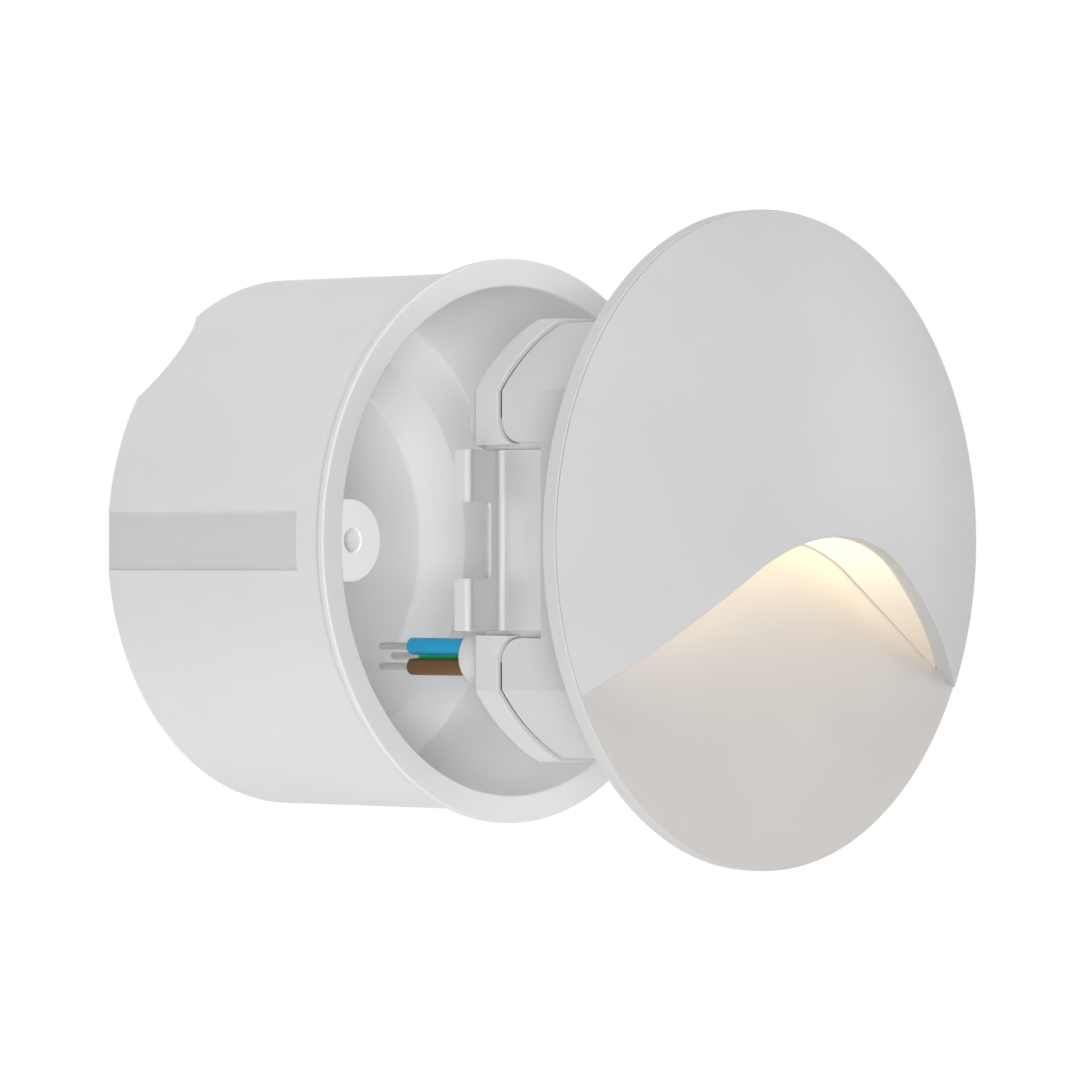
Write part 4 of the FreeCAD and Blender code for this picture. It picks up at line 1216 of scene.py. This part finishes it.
shank_end = boss_end - SCREW_BITE + SHANK_CLEARANCE
head_top = cap_rear + HEAD_HEIGHT
screw_outline = rounded([
    (0, shank_end, 0), (SHANK_RADIUS, shank_end, SHANK_TIP), (SHANK_RADIUS, cap_rear, 0),
    (HEAD_RADIUS, cap_rear, HEAD_EDGE), (HEAD_RADIUS, head_top, HEAD_CROWN), (0, head_top, 0)],
    steps=6)
cap_screws = solid(gathered([turned(screw_outline, 48, place) for place in cap_screw_places]),
                   "cap_screw_set")
slots = []
for number, place in enumerate(cap_screw_places):
    for turn in (0, 90):
        tilt = Matrix.Rotation(math.radians(turn + RECESS_TURN * number), 2)
        slot = [tilt @ Vector(corner) + Vector(place)
                for corner in slab(-RECESS_LENGTH / 2, RECESS_LENGTH / 2, RECESS_WIDTH / 2)]
        slots.append(prism("recess", slot, head_top - RECESS_DEPTH, head_top + SUNK))
combine(cap_screws, "DIFFERENCE", slots)
dress(cap_screws, "screw_steel", "cap_screws")
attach(cap_screws, "lamp")

# %% [markdown]
# ## The sheath and the stopper
# A short white sheath ends behind the cap, and a stopper of the same thickness fills the entry that
# isn't used. Both are plain round pieces with a soft rear edge, so both are turned from one kind of
# outline. The sheath is then bored for its three cores.

# %% Sheath and stopper
SOFT_EDGE = 0.35
HIDDEN_EDGE = 0.2
CORE_BORE_GAP = 0.03


def plug_shape(name, low, high, place):
    """A round piece along Y, as thick as the sheath, with a soft rear edge."""
    outline = rounded([(0, low.y, 0), (sheath_radius, low.y, HIDDEN_EDGE),
                       (sheath_radius, high.y, SOFT_EDGE), (0, high.y, 0)], steps=5)
    return solid(turned(outline, 64, place), name)


stopper = plug_shape("stopper", plug_low, plug_high, plug_place)
dress(stopper, "cap_plastic", "blanking_plug")
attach(stopper, "lamp")

sheath = plug_shape("sheath", sheath_low, sheath_high, sheath_place)
core_boxes = {name: size_of(name) for name in ("core_blue", "core_green", "core_brown")}
core_places = {}
bores = []
for name, (low, high) in core_boxes.items():
    core_places[name] = ((low.x + high.x) / 2, (low.z + high.z) / 2)
    radius = (high.x - low.x) / 2 + CORE_BORE_GAP
    bores.append(rod("bore", radius, core_places[name], sheath_low.y - PAST,
                     sheath_high.y + PAST, segments=40))
combine(sheath, "DIFFERENCE", bores)
dress(sheath, "cable_white", "cable_sheath")
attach(sheath, "lamp")

# %% [markdown]
# ## The cores and their bare tips
# Three insulated cores come out of the sheath, each with a bare tip of bright wire. When the light
# is pushed home the cores are gathered into the box behind it. A turned tube has points only at its
# ends. It gets more along its length, about one for each millimetre.

# %% Cores and bare tips
WIRE_RADIUS = 0.45
WIRE_GAP = 0.03
CORE_HIDDEN_EDGE = 0.1
CORE_EDGE = 0.25
CORE_BORE_EDGE = 0.08
TIP_EDGE = 0.2

wire_low, wire_high = size_of("bare_wires")
bore_radius = WIRE_RADIUS + WIRE_GAP


def long_steps(outline):
    """Adds points along an outline's long straight runs."""
    filled = []
    for point, after in zip(outline, outline[1:] + outline[:1]):
        filled.append(point)
        pieces_here = int(abs(after[1] - point[1]))
        for step in range(1, pieces_here):
            filled.append(Vector(point).lerp(Vector(after), step / pieces_here))
    return filled


for name, (low, high) in core_boxes.items():
    core_radius = (high.x - low.x) / 2
    outline = long_steps(rounded([
        (bore_radius, low.y, 0), (core_radius, low.y, CORE_HIDDEN_EDGE),
        (core_radius, high.y, CORE_EDGE), (bore_radius, high.y, CORE_BORE_EDGE)]))
    core = solid(turned(outline, 40, core_places[name]), name + "_skin")
    dress(core, name, name)
    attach(core, "lamp")
    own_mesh(core)

outline = long_steps(rounded([
    (0, wire_low.y, 0), (WIRE_RADIUS, wire_low.y, CORE_HIDDEN_EDGE),
    (WIRE_RADIUS, wire_high.y, TIP_EDGE), (0, wire_high.y, 0)]))
bare_tips = solid(gathered([turned(outline, 32, place) for place in core_places.values()]),
                  "bare_tips")
dress(bare_tips, "bare_wire", "bare_wires")
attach(bare_tips, "lamp")
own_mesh(bare_tips)

# %% [markdown]
# ## The spring clips
# Each clip is one strip of spring steel: a flat root in the drum's notch, a fold outwards, a fork
# of two tabs and a short lip that grips the box. A sheet-metal part is best made the way the
# workshop does it: the blank is cut out flat, and then it is folded. So the first step is to lay
# out the folded line, and to say where each point of the blank comes to lie on it.

# %% Lay out the folded line
FIRST_BEND = 1.0
LIP_BEND = 0.4

clip_low, clip_high = size_of("clip_right_wing")
root_low, _ = size_of("clip_right_base")
half_sheet = CLIP_THICKNESS / 2
bend_one = FIRST_BEND + half_sheet
bend_two = LIP_BEND + half_sheet
root_x = notch_floor + half_sheet
tab_y = drum_end + bend_one
lip_x = clip_high.x - half_sheet
root_length = drum_end - root_low.y
tab_length = lip_x - bend_two - (root_x + bend_one)
lip_length = clip_high.y - (tab_y + bend_two)
fold_one = root_length + bend_one * math.pi / 2
fold_two = fold_one + tab_length
fold_three = fold_two + bend_two * math.pi / 2
blank_length = fold_three + lip_length


def folded(along, offset):
    """Where a point of the flat blank comes to lie: x and y of the folded strip, right clip.
    along is measured on the middle of the sheet, offset towards the plate of the light."""
    if along < root_length:
        return root_x + offset, root_low.y + along
    if along < fold_one:
        angle = (along - root_length) / bend_one
        radius = bend_one - offset
        return root_x + bend_one - radius * math.cos(angle), drum_end + radius * math.sin(angle)
    if along < fold_two:
        return root_x + bend_one + along - fold_one, tab_y - offset
    if along < fold_three:
        angle = (along - fold_two) / bend_two
        radius = bend_two + offset
        return lip_x - bend_two + radius * math.sin(angle), tab_y + bend_two - radius * math.cos(angle)
    return lip_x + offset, tab_y + bend_two + along - fold_three


print("the blank is", round(blank_length, 1), "mm long and",
      round(clip_high.z - clip_low.z, 1), "mm tall")

# %% [markdown]
# ## Cutting and folding the strip
# The blank gets its fork and its rounded corners while it is flat, and the edges of its two faces
# are eased, as tumbling does to real clips. Extra cuts across the two folds give them points to
# bend at, and then every point moves to its place on the folded line.

# %% Cut, ease and fold the two clips
FORK_HALF_HEIGHT = 4.6
FORK_START = 2.1
BLANK_CORNER = 0.6
LIP_CORNER = 0.3
EASED_EDGE = 0.08
SHARP_EDGE = math.radians(60)
FIRST_FOLD_STEPS = 10
LIP_FOLD_STEPS = 8

top = clip_high.z
fork = FORK_HALF_HEIGHT
fork_from = fold_one + FORK_START - FIRST_BEND - CLIP_THICKNESS
blank = rounded([(0, -top, BLANK_CORNER), (blank_length, -top, LIP_CORNER),
                 (blank_length, -fork, LIP_CORNER), (fork_from, -fork, BLANK_CORNER),
                 (fork_from, fork, BLANK_CORNER), (blank_length, fork, LIP_CORNER),
                 (blank_length, top, LIP_CORNER), (0, top, BLANK_CORNER)], steps=5)
fold_cuts = [root_length + bend_one * math.pi / 2 * step / FIRST_FOLD_STEPS
             for step in range(FIRST_FOLD_STEPS + 1)]
fold_cuts += [fold_two + bend_two * math.pi / 2 * step / LIP_FOLD_STEPS
              for step in range(LIP_FOLD_STEPS + 1)]
for side, name in ((-1, "left"), (1, "right")):
    sheet = bmesh.new()
    face = sheet.faces.new([sheet.verts.new((along, z, -half_sheet)) for along, z in blank])
    raised = bmesh.ops.extrude_face_region(sheet, geom=[face])
    lifted = [item for item in raised["geom"] if isinstance(item, bmesh.types.BMVert)]
    bmesh.ops.translate(sheet, vec=(0, 0, CLIP_THICKNESS), verts=lifted)
    bmesh.ops.recalc_face_normals(sheet, faces=sheet.faces)
    rim = [edge for edge in sheet.edges if edge.calc_face_angle(0) > SHARP_EDGE
           and abs(edge.verts[0].co.z - edge.verts[1].co.z) < half_sheet]
    bmesh.ops.bevel(sheet, geom=rim, offset=EASED_EDGE, segments=2, profile=0.5, affect="EDGES")
    for cut in fold_cuts:
        whole = sheet.verts[:] + sheet.edges[:] + sheet.faces[:]
        bmesh.ops.bisect_plane(sheet, geom=whole, plane_co=(cut, 0, 0), plane_no=(1, 0, 0))
    for vert in sheet.verts:
        along, z, offset = vert.co
        x, y = folded(along, offset)
        vert.co = (side * x, y, z)
    clip = solid(sheet, f"spring_clip_{name}")
    dress(clip, "spring_steel", f"clip_{name}_base", f"clip_{name}_wing", crease=BOWED_CREASE)
    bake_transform(clip)

# %% [markdown]
# ## The studio
# The photograph has no visible floor, a white ground and almost no shadows. A world that is white
# and strong would give the white ground, but it would also flood the light and wash out its
# shapes. So the world is white only to rays from the camera, from mirrors and through glass, and
# to all others it is a faint, even light.

# %% White ground for the camera, plain light for the object
AMBIENT = 0.12
WHITE = (1, 1, 1, 1)

world = bpy.data.worlds.new("studio")
bpy.context.scene.world = world
world.use_nodes = True
nodes = world.node_tree.nodes
links = world.node_tree.links
soft = nodes["Background"]
white = nodes.new("ShaderNodeBackground")
for background, strength in ((soft, AMBIENT), (white, 1.0)):
    background.inputs["Color"].default_value = WHITE
    background.inputs["Strength"].default_value = strength
path = nodes.new("ShaderNodeLightPath")
seen = path.outputs["Is Camera Ray"]
for kind in ("Is Glossy Ray", "Is Transmission Ray"):
    either = nodes.new("ShaderNodeMath")
    either.operation = "MAXIMUM"
    links.new(seen, either.inputs[0])
    links.new(path.outputs[kind], either.inputs[1])
    seen = either.outputs[0]
mix = nodes.new("ShaderNodeMixShader")
links.new(seen, mix.inputs["Fac"])
links.new(soft.outputs["Background"], mix.inputs[1])
links.new(white.outputs["Background"], mix.inputs[2])
links.new(mix.outputs["Shader"], nodes["World Output"].inputs["Surface"])
print("ambient light", AMBIENT)

# %% [markdown]
# ## The floor
# The light is held by a wall, so the floor lies well below it and only takes a soft shadow. It has
# to look as white as the ground behind it. More lamps would do that, but they would brighten the
# light too. So the floor glows, and only towards the camera and mirrors.

# %% Lay the floor
FLOOR_DROP = 0.5
FLOOR_SIDE = 12.0
FLOOR_GLOW = 0.9

half = FLOOR_SIDE / 2
floor_mesh = bpy.data.meshes.new("floor")
floor_mesh.from_pydata([(-half, -half, 0), (half, -half, 0), (half, half, 0), (-half, half, 0)],
                       [], [(0, 1, 2, 3)])
floor = bpy.data.objects.new("floor", floor_mesh)
bpy.context.scene.collection.objects.link(floor)
floor.location.z = cad_low.z - FLOOR_DROP
floor_finish = Finish("floor", roughness=0.9)
floor_finish.set("Base Color", floor_finish.drift(paint(238, 238, 238), paint(242, 242, 242),
                                            size=60))
floor_finish.set("Emission Color", WHITE)
path = floor_finish.nodes.new("ShaderNodeLightPath")
seen = floor_finish.math("MAXIMUM", path.outputs["Is Camera Ray"], path.outputs["Is Glossy Ray"])
floor_finish.set("Emission Strength", floor_finish.span(seen, 0, FLOOR_GLOW))
floor.data.materials.append(floor_finish.material)
print("floor at z =", round(floor.location.z, 3), "m")

# %% [markdown]
# ## Soft lamps
# One small lamp stands by the camera and reaches wherever the camera looks, even into the box. It
# is hidden from mirror rays, or it would leave a hard spot on the glossy edges. Four large soft
# ones round it give the shapes their shading: from the left and below, from the right, from above
# and from behind. Large lamps blur their shadows away.

# %% Hang the lamps
LAMP_DISTANCE = 1.1
# Azimuth and elevation in degrees, side in metres, power in watts.
LAMPS = {"by_the_camera": (-48, -3, 0.3, 8.2), "low_left": (-90, -25, 0.7, 2.0),
         "right": (60, 8, 0.7, 4.0), "above": (-20, 80, 0.7, 6.4), "behind": (165, 15, 0.7, 4.6)}

for name, (azimuth, elevation, side, power) in LAMPS.items():
    lamp = bpy.data.lights.new(name, "AREA")
    lamp.shape = "SQUARE"
    lamp.size = side
    lamp.energy = power
    holder = bpy.data.objects.new(name, lamp)
    holder.visible_glossy = name != "by_the_camera"
    bpy.context.scene.collection.objects.link(holder)
    holder.location = direction(azimuth, elevation) * LAMP_DISTANCE
    look_back(holder, direction(azimuth, elevation))
print(len(LAMPS), "lamps,", sum(figures[-1] for figures in LAMPS.values()), "watts in all")
